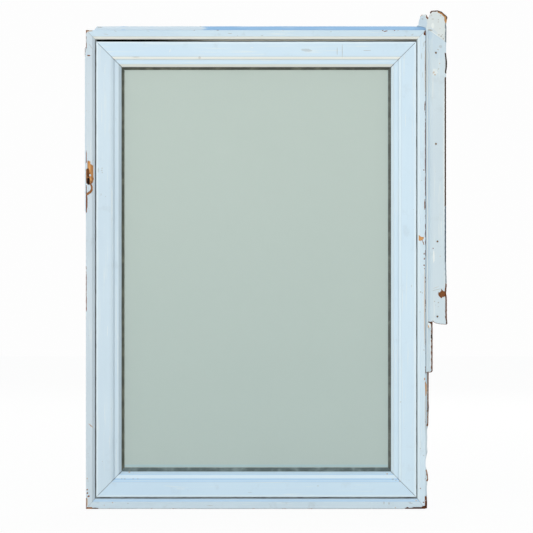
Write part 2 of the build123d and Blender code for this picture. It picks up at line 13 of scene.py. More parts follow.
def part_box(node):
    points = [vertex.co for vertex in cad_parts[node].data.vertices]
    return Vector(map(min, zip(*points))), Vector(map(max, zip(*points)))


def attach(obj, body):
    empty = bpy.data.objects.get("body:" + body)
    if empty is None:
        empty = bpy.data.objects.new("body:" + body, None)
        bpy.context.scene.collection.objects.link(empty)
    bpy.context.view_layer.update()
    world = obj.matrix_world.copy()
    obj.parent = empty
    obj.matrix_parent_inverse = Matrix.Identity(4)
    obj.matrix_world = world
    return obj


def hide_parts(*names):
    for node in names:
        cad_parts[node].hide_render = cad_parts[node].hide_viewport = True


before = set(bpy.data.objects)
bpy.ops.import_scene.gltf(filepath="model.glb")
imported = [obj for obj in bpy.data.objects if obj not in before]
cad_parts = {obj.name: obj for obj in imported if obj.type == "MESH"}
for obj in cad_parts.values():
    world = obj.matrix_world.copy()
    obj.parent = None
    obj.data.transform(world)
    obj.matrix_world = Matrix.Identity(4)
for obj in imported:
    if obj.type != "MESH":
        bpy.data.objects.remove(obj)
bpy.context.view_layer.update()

# Looks of a painted wooden casement window. Sizes are in millimetres until a mesh is made, and are those
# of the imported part: X runs across, Y from the weather side into the room and Z up.

LOG = logging.getLogger("window")
MM = 0.001
FRONT = -58.0
FRAME_HEIGHT = 956.0
HALF_WIDTH = 339.0
STRIP_SIDE = 346.5
COVER_SIDE = 342.0
BOARD_SIDE = 353.5
BOARD_EDGE = 382.0
# How far from an arris its wear reaches
ARRIS_REACH = 1.4
# Depths in metres between which the marks of the weather side fade out
MARKS_FULL, MARKS_END = -0.0446, -0.0434
# Half size of a mark front to back, so large that only its outline counts
THROUGH = 1000.0

# Millimetres a pixel at the weather face, and where the window stands in the photograph
PIXEL = 1.995
MIDDLE_COLUMN = 255.75
FOOT_ROW = 509.1
PHOTO_SIZE = 533

Colour = tuple[float, float, float, float]
Point = tuple[float, float]


def across(column: float) -> float:
    """Place across the window, in millimetres, of a column of the photograph."""
    return (column - MIDDLE_COLUMN) * PIXEL


def up(row: float) -> float:
    """Height above the window's foot, in millimetres, of a row of the photograph."""
    return (FOOT_ROW - row) * PIXEL


def srgb(red: float, green: float, blue: float) -> Colour:
    """Linear colour of a screen colour.

    Args:
        red: red, 0 to 255.
        green: green, 0 to 255.
        blue: blue, 0 to 255.

    Returns:
        The colour as Blender's sockets take it.
    """
    parts = [value / 255 for value in (red, green, blue)]
    linear = [p / 12.92 if p <= 0.04045 else ((p + 0.055) / 1.055) ** 2.4 for p in parts]
    return (linear[0], linear[1], linear[2], 1.0)


class Term:
    """A number in a node tree, on which Python's operators add Math nodes."""

    def __init__(self, graph: "Graph", socket: bpy.types.NodeSocket) -> None:
        """Wraps an output socket of the graph."""
        self.graph = graph
        self.socket = socket

    def _math(self, operation: str, first: "Value", second: "Value") -> "Term":
        """One Math node on two values."""
        return self.graph.term("ShaderNodeMath", {"operation": operation}, {0: first, 1: second})

    def __add__(self, other: "Value") -> "Term":
        """Sum."""
        return self._math("ADD", self, other)

    __radd__ = __add__

    def __sub__(self, other: "Value") -> "Term":
        """Difference."""
        return self._math("SUBTRACT", self, other)

    def __rsub__(self, other: "Value") -> "Term":
        """Difference, the other way round."""
        return self._math("SUBTRACT", other, self)

    def __mul__(self, other: "Value") -> "Term":
        """Product."""
        return self._math("MULTIPLY", self, other)

    __rmul__ = __mul__

    def most(self, other: "Value") -> "Term":
        """The larger of the two."""
        return self._math("MAXIMUM", self, other)

    def least(self, other: "Value") -> "Term":
        """The smaller of the two."""
        return self._math("MINIMUM", self, other)

    def rise(self, low: float, high: float) -> "Term":
        """Smooth step from 0 at low to 1 at high."""
        sockets = {"Value": self, "From Min": low, "From Max": high}
        return self.graph.term("ShaderNodeMapRange", {"interpolation_type": "SMOOTHSTEP"}, sockets)

    def fall(self, low: float, high: float) -> "Term":
        """Smooth step from 1 at low to 0 at high."""
        return 1.0 - self.rise(low, high)


Value = Term | bpy.types.NodeSocket | float | tuple | Vector


class Graph:
    """A node tree with short ways to add nodes."""

    def __init__(self, tree: bpy.types.NodeTree) -> None:
        """Empties the tree and keeps it."""
        self.tree = tree
        tree.nodes.clear()

    @staticmethod
    def _socket(sockets: Sequence, key: str | int) -> bpy.types.NodeSocket:
        """The socket with that number, identifier or name."""
        if isinstance(key, int):
            return sockets[key]
        named = [s for s in sockets if s.identifier == key]
        return (named or [s for s in sockets if s.name == key])[0]

    def node(self, kind: str, settings: dict | None = None, sockets: dict | None = None) -> bpy.types.Node:
        """Adds a node.

        Args:
            kind: the node's type.
            settings: properties, set first; "stops" holds a ramp's (place, colour) pairs.
            sockets: values or links by the input's number, identifier or name.

        Returns:
            The new node.
        """
        made = self.tree.nodes.new(kind)
        for name, value in (settings or {}).items():
            setattr(made, name, value)
        for key, value in (sockets or {}).items():
            target = self._socket(made.inputs, key)
            source = value.socket if isinstance(value, Term) else value
            if isinstance(source, bpy.types.NodeSocket):
                self.tree.links.new(source, target)
            else:
                target.default_value = source
        return made

    def term(
        self, kind: str, settings: dict | None = None, sockets: dict | None = None, out: str | int = 0
    ) -> Term:
        """Adds a node and wraps one output.

        Args:
            kind: the node's type.
            settings: properties, set first.
            sockets: values or links of its inputs.
            out: the output's number or name.

        Returns:
            The wrapped output.
        """
        made = self.node(kind, settings, sockets)
        return Term(self, self._socket(made.outputs, out))

    def place(self) -> Term:
        """The surface point in the window's own frame, in metres."""
        return self.term("ShaderNodeTexCoord", out="Object")

    def attribute(self, name: str) -> Term:
        """A value stored on the mesh, 0 where the mesh has none."""
        return self.term("ShaderNodeAttribute", {"attribute_name": name}, out="Fac")

    def scaled(self, stretch: Point | tuple, shift: tuple = (0.0, 0.0, 0.0)) -> Term:
        """The surface point, scaled and shifted."""
        return self.term("ShaderNodeMapping", None, {"Vector": self.place(), "Scale": stretch, "Location": shift})

    def noise(self, scale: tuple | float, detail: float = 3.0, rough: float = 0.55, shift: float = 0.0) -> Term:
        """Noise over the surface.

        Args:
            scale: cells a metre, one number or one each along X, Y and Z.
            detail: octaves.
            rough: strength of the finer octaves.
            shift: moves the pattern, so that two of the same scale differ.

        Returns:
            A value around 0.5.
        """
        axes = scale if isinstance(scale, tuple) else (scale, scale, scale)
        vector = self.scaled(axes, (shift, shift, shift))
        sockets = {"Vector": vector, "Scale": 1.0, "Detail": detail, "Roughness": rough}
        return self.term("ShaderNodeTexNoise", None, sockets)

    def spots(self, cell: float, radius: float, share: float, shift: float = 0.0) -> Term:
        """Scattered specks.

        Args:
            cell: spacing in millimetres.
            radius: largest radius in millimetres.
            share: share of the cells that hold one.
            shift: moves the pattern.

        Returns:
            1 inside a speck.
        """
        scale = 1 / (cell * MM)
        vector = self.scaled((scale, scale, scale), (shift, shift, shift))
        cells = self.node("ShaderNodeTexVoronoi", None, {"Vector": vector, "Scale": 1.0, "Randomness": 1.0})
        pick = self.term("ShaderNodeSeparateColor", None, {0: cells.outputs["Color"]})
        size = (pick - (1 - share)) * (radius / cell / share)
        return (size - Term(self, cells.outputs["Distance"])).rise(0.0, 0.03)

    def mix(self, share: Value, first: Value, second: Value, blend: str = "MIX") -> Term:
        """Colour mix: the first where share is 0, the second where it is 1."""
        settings = {"data_type": "RGBA", "blend_type": blend}
        sockets = {"Factor_Float": share, "A_Color": first, "B_Color": second}
        return self.term("ShaderNodeMix", settings, sockets, out="Result_Color")

    def mark(self, mark: "Mark", ragged: Term) -> Term:
        """Mask of a mark that is placed by the photograph, on the weather side only."""
        inverse = {
            "Vector": self.place(),
            "Location": (across(mark.column) * MM, 0.0, up(mark.row) * MM),
            "Rotation": (0.0, math.radians(mark.tilt), 0.0),
            "Scale": (mark.wide * PIXEL * MM, THROUGH, mark.high * PIXEL * MM),
        }
        local = self.term("ShaderNodeMapping", {"vector_type": "TEXTURE"}, inverse)
        reach = self.term("ShaderNodeVectorMath", {"operation": "LENGTH"}, {0: local}, out="Value")
        return (reach + (ragged - 0.5) * mark.ragged).fall(0.8, 1.1)

    def front(self) -> Term:
        """1 on the weather side's faces, 0 further back."""
        depth = self.term("ShaderNodeSeparateXYZ", None, {0: self.place()}, out="Y")
        return depth.fall(MARKS_FULL, MARKS_END)

    def bump(self, height: Value, distance: float, strength: float = 1.0) -> Term:
        """Normal of a height in units of a distance in millimetres."""
        sockets = {"Strength": strength, "Distance": distance * MM, "Height": height}
        return self.term("ShaderNodeBump", None, sockets)


def coat(piece: bpy.types.Object, finish: str) -> Graph:
    """Gives a piece a new material of its own.

    Args:
        piece: the piece.
        finish: the finish's name, which the material's name starts with.

    Returns:
        The material's empty graph.
    """
    made = bpy.data.materials.new(f"{finish}_{piece.name}")
    made.use_nodes = True
    piece.data.materials.clear()
    piece.data.materials.append(made)
    return Graph(made.node_tree)


def surface(graph: Graph, sockets: dict) -> None:
    """Ends a graph with a Principled shader that has these values and links."""
    shader = graph.node("ShaderNodeBsdfPrincipled", None, sockets)
    graph.node("ShaderNodeOutputMaterial", None, {"Surface": shader.outputs["BSDF"]})


class MarkKind(Enum):
    """What a placed mark shows."""

    FRESH_WOOD = "fresh wood"
    OLD_WOOD = "old wood"
    SCUFF = "scuff"
    # PALE marks: pale paint in some places, painted highlights on lit arrises and lands in others.
    PALE = "pale paint"
    # COLD marks: a darker bluish tone, mostly painted shade in valleys and beside mitres.
    COLD = "bluish paint"
    STAIN = "brown stain"

    def at(self, *rows: tuple[float, ...]) -> tuple["Mark", ...]:
        """Marks of this kind, one for each row of a mark's other numbers, in the order of its fields."""
        return tuple(Mark(*row[:4], self, *row[4:]) for row in rows)


# Tones of the marks; the COLD and PALE tones carry painted shade and painted highlights where those marks are
# painted light.
PAINT_MARKS = {
    MarkKind.COLD: (srgb(176, 202, 224), 0.6),
    MarkKind.PALE: (srgb(234, 238, 236), 1.0),
    MarkKind.SCUFF: (srgb(150, 142, 128), 0.6),
    MarkKind.STAIN: (srgb(186, 152, 112), 0.8),
}


class PaintedLight(Enum):
    """Painted light: a shift of the paint's colour that stands in for light and shade by the way a face is
    turned.
    """

    CREAM = "cream"
    COLD = "cold"
    SHADE = "shade"
    PALE = "pale"


# Painted light tones: CREAM is warm light reflected from below on down-facing faces, COLD sky light on up-facing
# faces, SHADE shade on faces turned from the light, PALE a highlight on faces turned to it.
PAINTED_LIGHT_TONES = {
    PaintedLight.CREAM: srgb(238, 235, 224),
    PaintedLight.COLD: srgb(176, 210, 240),
    PaintedLight.SHADE: srgb(52, 72, 88),
    PaintedLight.PALE: srgb(236, 246, 250),
}


@dataclass(frozen=True)
class Mark:
    """A deliberate mark, placed in pixels of the photograph.

    wide and high are half sizes in pixels, tilt is in degrees and ragged is how uneven its edge is.
    """

    column: float
    row: float
    wide: float
    high: float
    kind: MarkKind = MarkKind.SCUFF
    tilt: float = 0.0
    ragged: float = 0.7
    strength: float = 1.0


class Grain(Enum):
    """Direction in which a timber piece runs, with its noise scale across and along."""

    UPRIGHT = (1.0, 1.0, 0.04)
    LEVEL = (0.04, 1.0, 1.0)

    def scale(self, cells: float) -> tuple[float, float, float]:
        """Cells a metre along each axis for that many cells across the grain."""
        return tuple(cells * share for share in self.value)


# Cells a metre of the finishes' noises
CLOUDS, BLOTCHES, WORN_DASHES, FLECKS = 5.0, 34.0, 75.0, 420.0
BRUSH_STREAKS, WOOD_FIBRES = 260.0, 900.0
FILM_CLOUDS, SOIL_PATCHES = 3.0, 45.0

WOOD_FRESH = srgb(232, 180, 118)
WOOD_TAN = srgb(196, 134, 78)
WOOD_OLD = srgb(130, 68, 22)
WOOD_RAW = srgb(108, 56, 20)
WOOD_DARK = srgb(38, 21, 10)
UNDERCOAT = srgb(232, 236, 232)
DIRT = srgb(112, 108, 100)


@dataclass(frozen=True)
class OilPaint:
    """Oil paint on timber: brushed, soiled, speckled and worn through to brown wood, with painted light and shade
    laid on from the mesh's values and the marks.
    """

    tone: Colour = srgb(213, 231, 242)
    shade: Colour = srgb(200, 220, 234)
    grain: Grain = Grain.UPRIGHT
    wear: float = 0.5
    dirt: float = 0.35
    specks: float = 0.22
    cloud: float = 0.5

    def dress(self, piece: bpy.types.Object, marks: Sequence[Mark] = ()) -> None:
        """Gives a piece this paint.

        Args:
            piece: the timber piece.
            marks: the marks that the photograph shows on it.
        """
        graph = coat(piece, "paint")
        ragged = graph.noise(FLECKS)
        clouds = graph.noise(CLOUDS, 2.0, shift=3.1)
        streaks = graph.noise(self.grain.scale(BRUSH_STREAKS), 3.0, 0.6)
        fibres = graph.noise(self.grain.scale(WOOD_FIBRES), 4.0, 0.65, 1.7)
        paint = graph.mix(clouds.rise(0.35, 0.7) * self.cloud, self.tone, self.shade)
        paint = graph.mix((streaks - 0.42).rise(0.0, 0.3) * 0.16, paint, self.shade)
        paint = graph.mix(streaks.fall(0.3, 0.42) * 0.35, paint, UNDERCOAT)
        blotch = graph.noise(BLOTCHES, 4.0, 0.6, 5.2).rise(0.58, 0.75)
        # The mesh's dirt-and-shade value holds dirt, and painted shade in gaps and creases; blotches add dirt at
        # random.
        grime_and_shade = graph.attribute("grime_and_shade").most(blotch * self.dirt * 0.35)
        paint = graph.mix(grime_and_shade.least(1.0) * 0.75, paint, DIRT)
        specks = graph.spots(9.0, 0.75, self.specks) * 0.6
        specks = specks.most(graph.spots(31.0, 1.3, self.specks, 4.4) * 0.8)
        paint = graph.mix(specks, paint, srgb(150, 128, 104))
        front = graph.front()
        # Painted light and shade: each tint value on the mesh mixes its tone into the paint.
        for tint, tone in PAINTED_LIGHT_TONES.items():
            if tint.value in piece.data.attributes:
                paint = graph.mix(graph.attribute(tint.value), paint, tone)
        masks: dict[MarkKind, Term] = {}
        for mark in marks:
            mask = graph.mark(mark, ragged) * (front * mark.strength)
            masks[mark.kind] = masks[mark.kind].most(mask) if mark.kind in masks else mask
        for kind, (tone, share) in PAINT_MARKS.items():
            if kind in masks:
                paint = graph.mix(masks[kind] * share, paint, tone)
        fresh = graph.attribute("fresh")
        bare = graph.attribute("bare")
        if self.wear:
            dashes = graph.noise(WORN_DASHES, 3.0, 0.6, 7.7)
            worn = graph.attribute("worn") * 1.2 + (dashes - 0.5) * (2.4 * self.wear) + (ragged - 0.5) * 0.5
            bare = bare.most((graph.attribute("arris") * worn).rise(0.4, 0.62))
        if MarkKind.OLD_WOOD in masks:
            bare = bare.most(masks[MarkKind.OLD_WOOD])
        if MarkKind.FRESH_WOOD in masks:
            bare = bare.most(masks[MarkKind.FRESH_WOOD])
            fresh = fresh.most(masks[MarkKind.FRESH_WOOD])
        exposed = bare.rise(0.42, 0.58)
        paint = graph.mix(bare.rise(0.12, 0.4) * 0.8, paint, UNDERCOAT)
        old = graph.mix(fibres.rise(0.35, 0.68), WOOD_RAW, WOOD_OLD)
        new = graph.mix(fibres.rise(0.32, 0.7), WOOD_TAN, WOOD_FRESH)
        wood = graph.mix(fresh.least(1.0), old, new)
        if "hollow" in piece.data.attributes:
            wood = graph.mix(graph.attribute("hollow"), wood, WOOD_DARK)
        colour = graph.mix(exposed, paint, wood)
        rough = 0.42 + exposed * 0.42 + streaks * 0.1
        height = streaks * 0.25 + ragged * 0.12 + (1.0 - exposed) * 1.6 + fibres * exposed * 1.4
        normal = graph.bump(height, 0.16)
        surface(graph, {"Base Color": colour, "Roughness": rough, "Normal": normal})


@dataclass(frozen=True)
class GlassSheet:
    """Float glass with a pale green tint under a fine film of dust.

    The lines are painted reflections, paler streaks near the foot and the right side, with the metres over which
    each rises and falls.
    """

    tint: Colour = srgb(194, 208, 200)
    foot: Colour = srgb(183, 200, 194)
    cover: float = 0.6
    foot_reflection: tuple[Point, Point] = ((0.0822, 0.083), (0.0862, 0.088))
    side_reflection: tuple[Point, Point] = ((0.2624, 0.263), (0.2648, 0.2656))

    def dress(self, piece: bpy.types.Object) -> None:
        """Gives a sheet this glass."""
        graph = coat(piece, "glass")
        parts = graph.node("ShaderNodeSeparateXYZ", None, {0: graph.place()})
        height, side = Term(graph, parts.outputs["Z"]), Term(graph, parts.outputs["X"])
        clouds = graph.noise(FILM_CLOUDS, 2.0)
        tint = graph.mix((height + clouds * 0.2).rise(0.1, 1.0), self.foot, self.tint)
        # Painted reflections of the sash's lit lip, in pale lines near the foot and the right side.
        for place, (rise, fall), strength, tone in (
            (height, self.foot_reflection, 0.75, srgb(168, 204, 212)), (side, self.side_reflection, 0.4, srgb(170, 196, 196)),
        ):
            tint = graph.mix(place.rise(*rise) * place.fall(*fall) * strength, tint, tone)
        alpha = self.cover + (clouds - 0.5) * 0.02
        surface(graph, {"Base Color": tint, "Roughness": 0.06, "Alpha": alpha, "IOR": 1.5})


@dataclass(frozen=True)
class PlainFinish:
    """A finish of one colour with soiling, for rubber, metal and enamel."""

    name: str
    tone: Colour
    soil: Colour
    roughness: float
    metallic: float = 0.0
    soiling: float = 0.5
    grain: float = 300.0
    relief: float = 0.06

    def dress(self, piece: bpy.types.Object) -> None:
        """Gives a piece this finish."""
        graph = coat(piece, self.name)
        patches = graph.noise(SOIL_PATCHES, 4.0, 0.6)
        fine = graph.noise(self.grain)
        # The mesh's dirt-and-shade value adds dirt, and painted shade on the head's seal.
        share = (patches.rise(0.42, 0.7) * self.soiling).most(graph.attribute("grime_and_shade"))
        colour = graph.mix(share, self.tone, self.soil)
        colour = graph.mix(fine.rise(0.4, 0.8) * 0.15, colour, self.soil)
        rough = self.roughness + patches * 0.16
        normal = graph.bump(fine, self.relief)
        sockets = {"Base Color": colour, "Roughness": rough, "Metallic": self.metallic, "Normal": normal}
        surface(graph, sockets)


def wobble(points: np.ndarray, size: float, seed: int) -> np.ndarray:
    """Smooth repeatable unevenness.

    Args:
        points: places, three numbers each, in millimetres.
        size: about how far apart its humps are, in millimetres.
        seed: chooses the pattern.

    Returns:
        A value from -1 to 1 for each place.
    """
    random = np.random.default_rng(seed)
    total = np.zeros(points.shape[:-1])
    for octave in range(6):
        direction = random.normal(size=3)
        direction *= (1 + octave * 0.45) * 2 * math.pi / size / np.linalg.norm(direction)
        total += np.sin(points @ direction + random.uniform(0, 7)) / (1 + octave * 0.6)
    return np.clip(total / 2.2, -1, 1)


def smooth(value: np.ndarray) -> np.ndarray:
    """Smooth step of a value between 0 and 1."""
    held = np.clip(value, 0, 1)
    return held * held * (3 - 2 * held)


def between(value: np.ndarray, low: float, high: float, soft: float) -> np.ndarray:
    """1 between two values and 0 outside them, with the change spread over a soft width at each."""
    return smooth((value - low) / soft + 0.5) * smooth((high - value) / soft + 0.5)


def edge_distance(
    points: np.ndarray, outline: np.ndarray, counted: np.ndarray | None = None
) -> tuple[np.ndarray, np.ndarray]:
    """Where points lie in an outline.

    Args:
        points: places (x, z), one a row.
        outline: corners of a closed outline, one a row.
        counted: which of its edges the distance is measured from; all of them if None.

    Returns:
        Whether each point is inside, and its distance from the outline.
    """
    nearest = np.full(len(points), 1e3)
    inside = np.zeros(len(points), bool)
    for number, (a, b) in enumerate(zip(outline, following(outline))):
        run = b - a
        if counted is None or counted[number]:
            share = np.clip(((points - a) @ run) / max(run @ run, 1e-12), 0, 1)
            nearest = np.minimum(nearest, np.linalg.norm(points - a - share[:, None] * run, axis=1))
        if a[1] != b[1]:
            crosses = (a[1] > points[:, 1]) != (b[1] > points[:, 1])
            inside ^= crosses & (points[:, 0] < a[0] + (points[:, 1] - a[1]) * run[0] / run[1])
    return inside, nearest


def following(points: np.ndarray) -> np.ndarray:
    """The next point of a closed loop, for each of its points."""
    return np.roll(points, -1, axis=0)


def turning(loop: np.ndarray) -> float:
    """Above 0 where a closed loop turns to the left, below 0 where it turns to the right."""
    after = following(loop)
    return np.sum(loop[:, 0] * after[:, 1] - after[:, 0] * loop[:, 1])


def leftward(loop: np.ndarray) -> np.ndarray:
    """Unit vectors to the left of a closed loop's run, one for each of its points."""
    tangent = following(loop) - np.roll(loop, 1, axis=0)
    tangent /= np.maximum(np.linalg.norm(tangent, axis=1), 1e-9)[:, None]
    return np.stack([-tangent[:, 1], tangent[:, 0]], axis=1)


@dataclass(frozen=True)
class Damage:
    """Wood broken out of the weather side, with its outline in pixels of the photograph.

    top and foot are the depths of its floor, edge is how far its side slopes and fibre how rough it is. bare,
    fresh and hollow say how the floor looks, and later damage lies over earlier.
    """

    outline: tuple[Point, ...]
    top: float
    foot: float
    edge: float = 0.5
    fibre: float = 0.5
    fresh: float = 1.0
    hollow: float = 0.0
    bare: float = 1.0

    def carve(self, cells: "Cells", face: float) -> None:
        """Sinks what lies inside the outline and bares its wood."""
        outline = np.array([(across(c), up(r)) for c, r in self.outline])
        low, high = outline.min(0) - 1, outline.max(0) + 1
        x, z = cells.points[:, 0], cells.points[:, 2]
        near = np.where((x > low[0]) & (x < high[0]) & (z > low[1]) & (z < high[1]))[0]
        if not len(near):
            return
        flat = cells.points[near][:, [0, 2]]
        inside, distance = edge_distance(flat, outline)
        share = (high[1] - flat[:, 1]) / (high[1] - low[1])
        fibres = wobble(cells.points[near] * [1, 1, 0.06], 2.2, 11) * self.fibre
        floor = (self.top + (self.foot - self.top) * share + fibres) * smooth(distance / self.edge)
        depth = cells.points[near, 1] - FRONT - face
        sunk = inside & (depth < floor)
        cells.points[near, 1] += np.where(sunk, (floor - depth) * 0.97, 0)
        shows = inside & (depth < max(self.top, self.foot) + 0.5)
        cells.lay(near, np.where(shows, smooth(distance / 0.5 + 0.35), 0),
                  {"bare": self.bare, "fresh": self.fresh, "hollow": self.hollow})


@dataclass(frozen=True)
class Band:
    """Strip along a board's edge, inside a box from an upper left to a lower right pixel of the photograph."""

    start: Point
    end: Point
    width: float
    bare: float = 1.0
    fresh: float = 0.0
    hollow: float = 0.0
    # Painted shade on edges that face away from the light.
    shade: float = 0.0
    ragged: float = 0.35
    tear: float = 1.4
    soft: float = 1.2

    def lay(self, cells: "Cells", distance: np.ndarray) -> None:
        """Colours the points whose distance from the edge is less than the width."""
        x, z = cells.points[:, 0], cells.points[:, 2]
        torn = z + self.tear * wobble(cells.points, 2.6, 29)
        within = between(x, across(self.start[0]), across(self.end[0]), self.soft)
        within = within * between(torn, up(self.end[1]), up(self.start[1]), self.soft)
        reach = self.width * (1 + self.ragged * wobble(cells.points * [1, 0.3, 1], 6.0, 17))
        share = within * smooth((reach - distance) / 0.7 + 0.5)
        values = {"bare": self.bare, "fresh": self.fresh, "hollow": self.hollow, "shade": self.shade}
        cells.lay(np.arange(len(x)), share, values)


def bands_beside(left: float, right: float, rows: Sequence[tuple[float, ...]]) -> tuple[Band, ...]:
    """Bands between two columns, a row each: upper row, lower row and the band's fields from its width on."""
    return tuple(Band((left, top), (right, foot), *rest) for top, foot, *rest in rows)


class Cells:
    """Points of a mesh in the making, in millimetres, with the values that the finishes read."""

    NAMES = ("arris", "worn", "grime_and_shade", "bare", "fresh", "hollow", *(tint.value for tint in PaintedLight))

    def __init__(self, points: np.ndarray) -> None:
        """Takes the points and starts every value at 0."""
        self.points = points
        self.values = {name: np.zeros(len(points)) for name in self.NAMES}

    def lay(self, chosen: np.ndarray, share: np.ndarray, values: dict[str, float]) -> None:
        """Mixes values into the chosen points' own by a share each."""
        for name, value in values.items():
            old = self.values[name][chosen]
            self.values[name][chosen] = old * (1 - share) + value * share

    def raise_to(self, name: str, least: np.ndarray) -> None:
        """Raises a value to at least this much at each point."""
        self.values[name] = np.maximum(self.values[name], least.reshape(-1))

    def piece(self, name: str, faces: Sequence[Sequence[int]], smooth_angle: float = 38.0) -> bpy.types.Object:
        """Makes the mesh.

        Args:
            name: the piece's name.
            faces: corner numbers of each face.
            smooth_angle: sharper edges than this many degrees stay sharp.

        Returns:
            The object, linked to the scene.
        """
        mesh = bpy.data.meshes.new(name)
        mesh.from_pydata((self.points * MM).tolist(), [], [list(f) for f in faces])
        work = bmesh.new()
        work.from_mesh(mesh)
        bmesh.ops.recalc_face_normals(work, faces=work.faces)
        work.to_mesh(mesh)
        work.free()
        for label, values in self.values.items():
            if values.any():
                layer = mesh.attributes.new(label, "FLOAT", "POINT")
                layer.data.foreach_set("value", np.clip(values, 0, 1).astype(np.float32))
        mesh.polygons.foreach_set("use_smooth", [True] * len(mesh.polygons))
        mesh.set_sharp_from_angle(angle=math.radians(smooth_angle))
        mesh.update()
        made = bpy.data.objects.new(name, mesh)
        bpy.context.scene.collection.objects.link(made)
        return made


def put(piece: bpy.types.Object, slot: str, *nodes: str) -> bpy.types.Object:
    """Seats a finished piece in the frame.

    Args:
        piece: the piece.
        slot: the record's material slot meant for the piece; not used.
        nodes: the CAD nodes that it stands for.

    Returns:
        The same piece.
    """
    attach(piece, "root")
    if nodes:
        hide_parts(*nodes)
    LOG.info("%s: %d faces for %s", piece.name, len(piece.data.polygons), ", ".join(nodes) or "itself")
    return piece


class Side(Enum):
    """Side of a ring of four members."""

    TOP = "top"
    BOTTOM = "bottom"
    LEFT = "left"
    RIGHT = "right"

    @property
    def level(self) -> bool:
        """True for a member that runs across."""
        return self in (Side.TOP, Side.BOTTOM)


@dataclass(frozen=True)
class Ring:
    """Outer size of four mitred members and the height that they start at."""

    width: float
    height: float
    foot: float

    def half(self, side: Side) -> float:
        """Half the length of a member."""
        return (self.width if side.level else self.height) / 2

    def points(self, side: Side, u: np.ndarray, v: np.ndarray, along: np.ndarray) -> np.ndarray:
        """Places of section points of a member.

        Args:
            side: which member.
            u: distance inward from the outer edge.
            v: depth behind the weather face.
            along: place along the member from its middle.

        Returns:
            The places, three numbers each.
        """
        middle = self.foot + self.height / 2
        x, z = {
            Side.TOP: (along, self.foot + self.height - u),
            Side.BOTTOM: (along, self.foot + u),
            Side.LEFT: (u - self.width / 2, middle + along),
            Side.RIGHT: (self.width / 2 - u, middle + along),
        }[side]
        return np.stack([x, FRONT + v, z], axis=-1)


@dataclass(frozen=True)
class Corner:
    """Corner of a cross section: u inward, v into the room, its rounding and how much its arris wears."""

    u: float
    v: float
    rounding: float = 0.0
    wear: float = 0.0


@dataclass(frozen=True)
class Profile:
    """Closed cross section of a timber member."""

    corners: tuple[Corner, ...]
    fine: float = 2.2
    coarse: float = 10.0
    fine_depth: float = 20.0

    def loop(self) -> tuple[np.ndarray, np.ndarray]:
        """The section's points.

        Returns:
            Points (u, v), one a row, and the arris value of each.
        """
        turned: list[np.ndarray] = []
        places = [np.array((c.u, c.v), float) for c in self.corners]
        for number, corner in enumerate(self.corners):
            here, before, after = places[number], places[number - 1], places[(number + 1) % len(places)]
            if not corner.rounding:
                turned.append(here)
                continue
            start = here + (before - here) / np.linalg.norm(before - here) * corner.rounding
            end = here + (after - here) / np.linalg.norm(after - here) * corner.rounding
            for share in np.linspace(0, 1, 5):
                turned.append(start * (1 - share) ** 2 + here * 2 * share * (1 - share) + end * share**2)
        points: list[np.ndarray] = []
        for a, b in zip(turned, turned[1:] + turned[:1]):
            shallow = min(a[1], b[1]) < self.fine_depth
            count = max(1, math.ceil(np.linalg.norm(b - a) / (self.fine if shallow else self.coarse)))
            points.extend(a + (b - a) * step / count for step in range(count))
        loop = np.array(points)
        arris = np.zeros(len(loop))
        for corner, place in zip(self.corners, places):
            reach = np.linalg.norm(loop - place, axis=1) - corner.rounding * 0.4
            arris = np.maximum(arris, corner.wear * np.exp(-(np.maximum(reach, 0) / ARRIS_REACH) ** 2))
        return loop, arris

    def inward(self, loop: np.ndarray) -> np.ndarray:
        """Unit vectors that point into the section, one for each of its points."""
        return leftward(loop) if turning(loop) > 0 else -leftward(loop)


@dataclass(frozen=True)
class Fit:
    """Where a ring's weather-side edges lie, in distances inward from the part's ring, by side.

    width is the section's own width. The fit holds as deep as reach and ends at fade, behind which the part's
    own places hold.
    """

    outer: dict[Side, float]
    inner: dict[Side, float]
    width: float
    reach: float
    fade: float

    def share(self, v: np.ndarray) -> np.ndarray:
        """How much of the fit holds at each depth."""
        return np.clip((self.fade - v) / (self.fade - self.reach), 0, 1)

    def inset(self, side: Side, u: np.ndarray, v: np.ndarray) -> np.ndarray:
        """Distance inward from the ring's outer edge on a side, of section points."""
        start, end = self.outer[side], self.inner[side]
        return u + self.share(v) * (start + u / self.width * (end - start) - u)


@dataclass(frozen=True)
class Stripe:
    """Range of a section, by its u, whose weather side takes a value, such as painted light, painted shade or
    dirt.
    """

    start: float
    end: float
    name: str
    value: float
    depth: float = 15.0
    shallow: float = -1.0

    def share(self, loop: np.ndarray) -> np.ndarray:
        """How much each point of the section takes."""
        inside = between(loop[:, 0], self.start, self.end, 0.6)
        return inside * self.value * (loop[:, 1] <= self.depth) * (loop[:, 1] >= self.shallow)


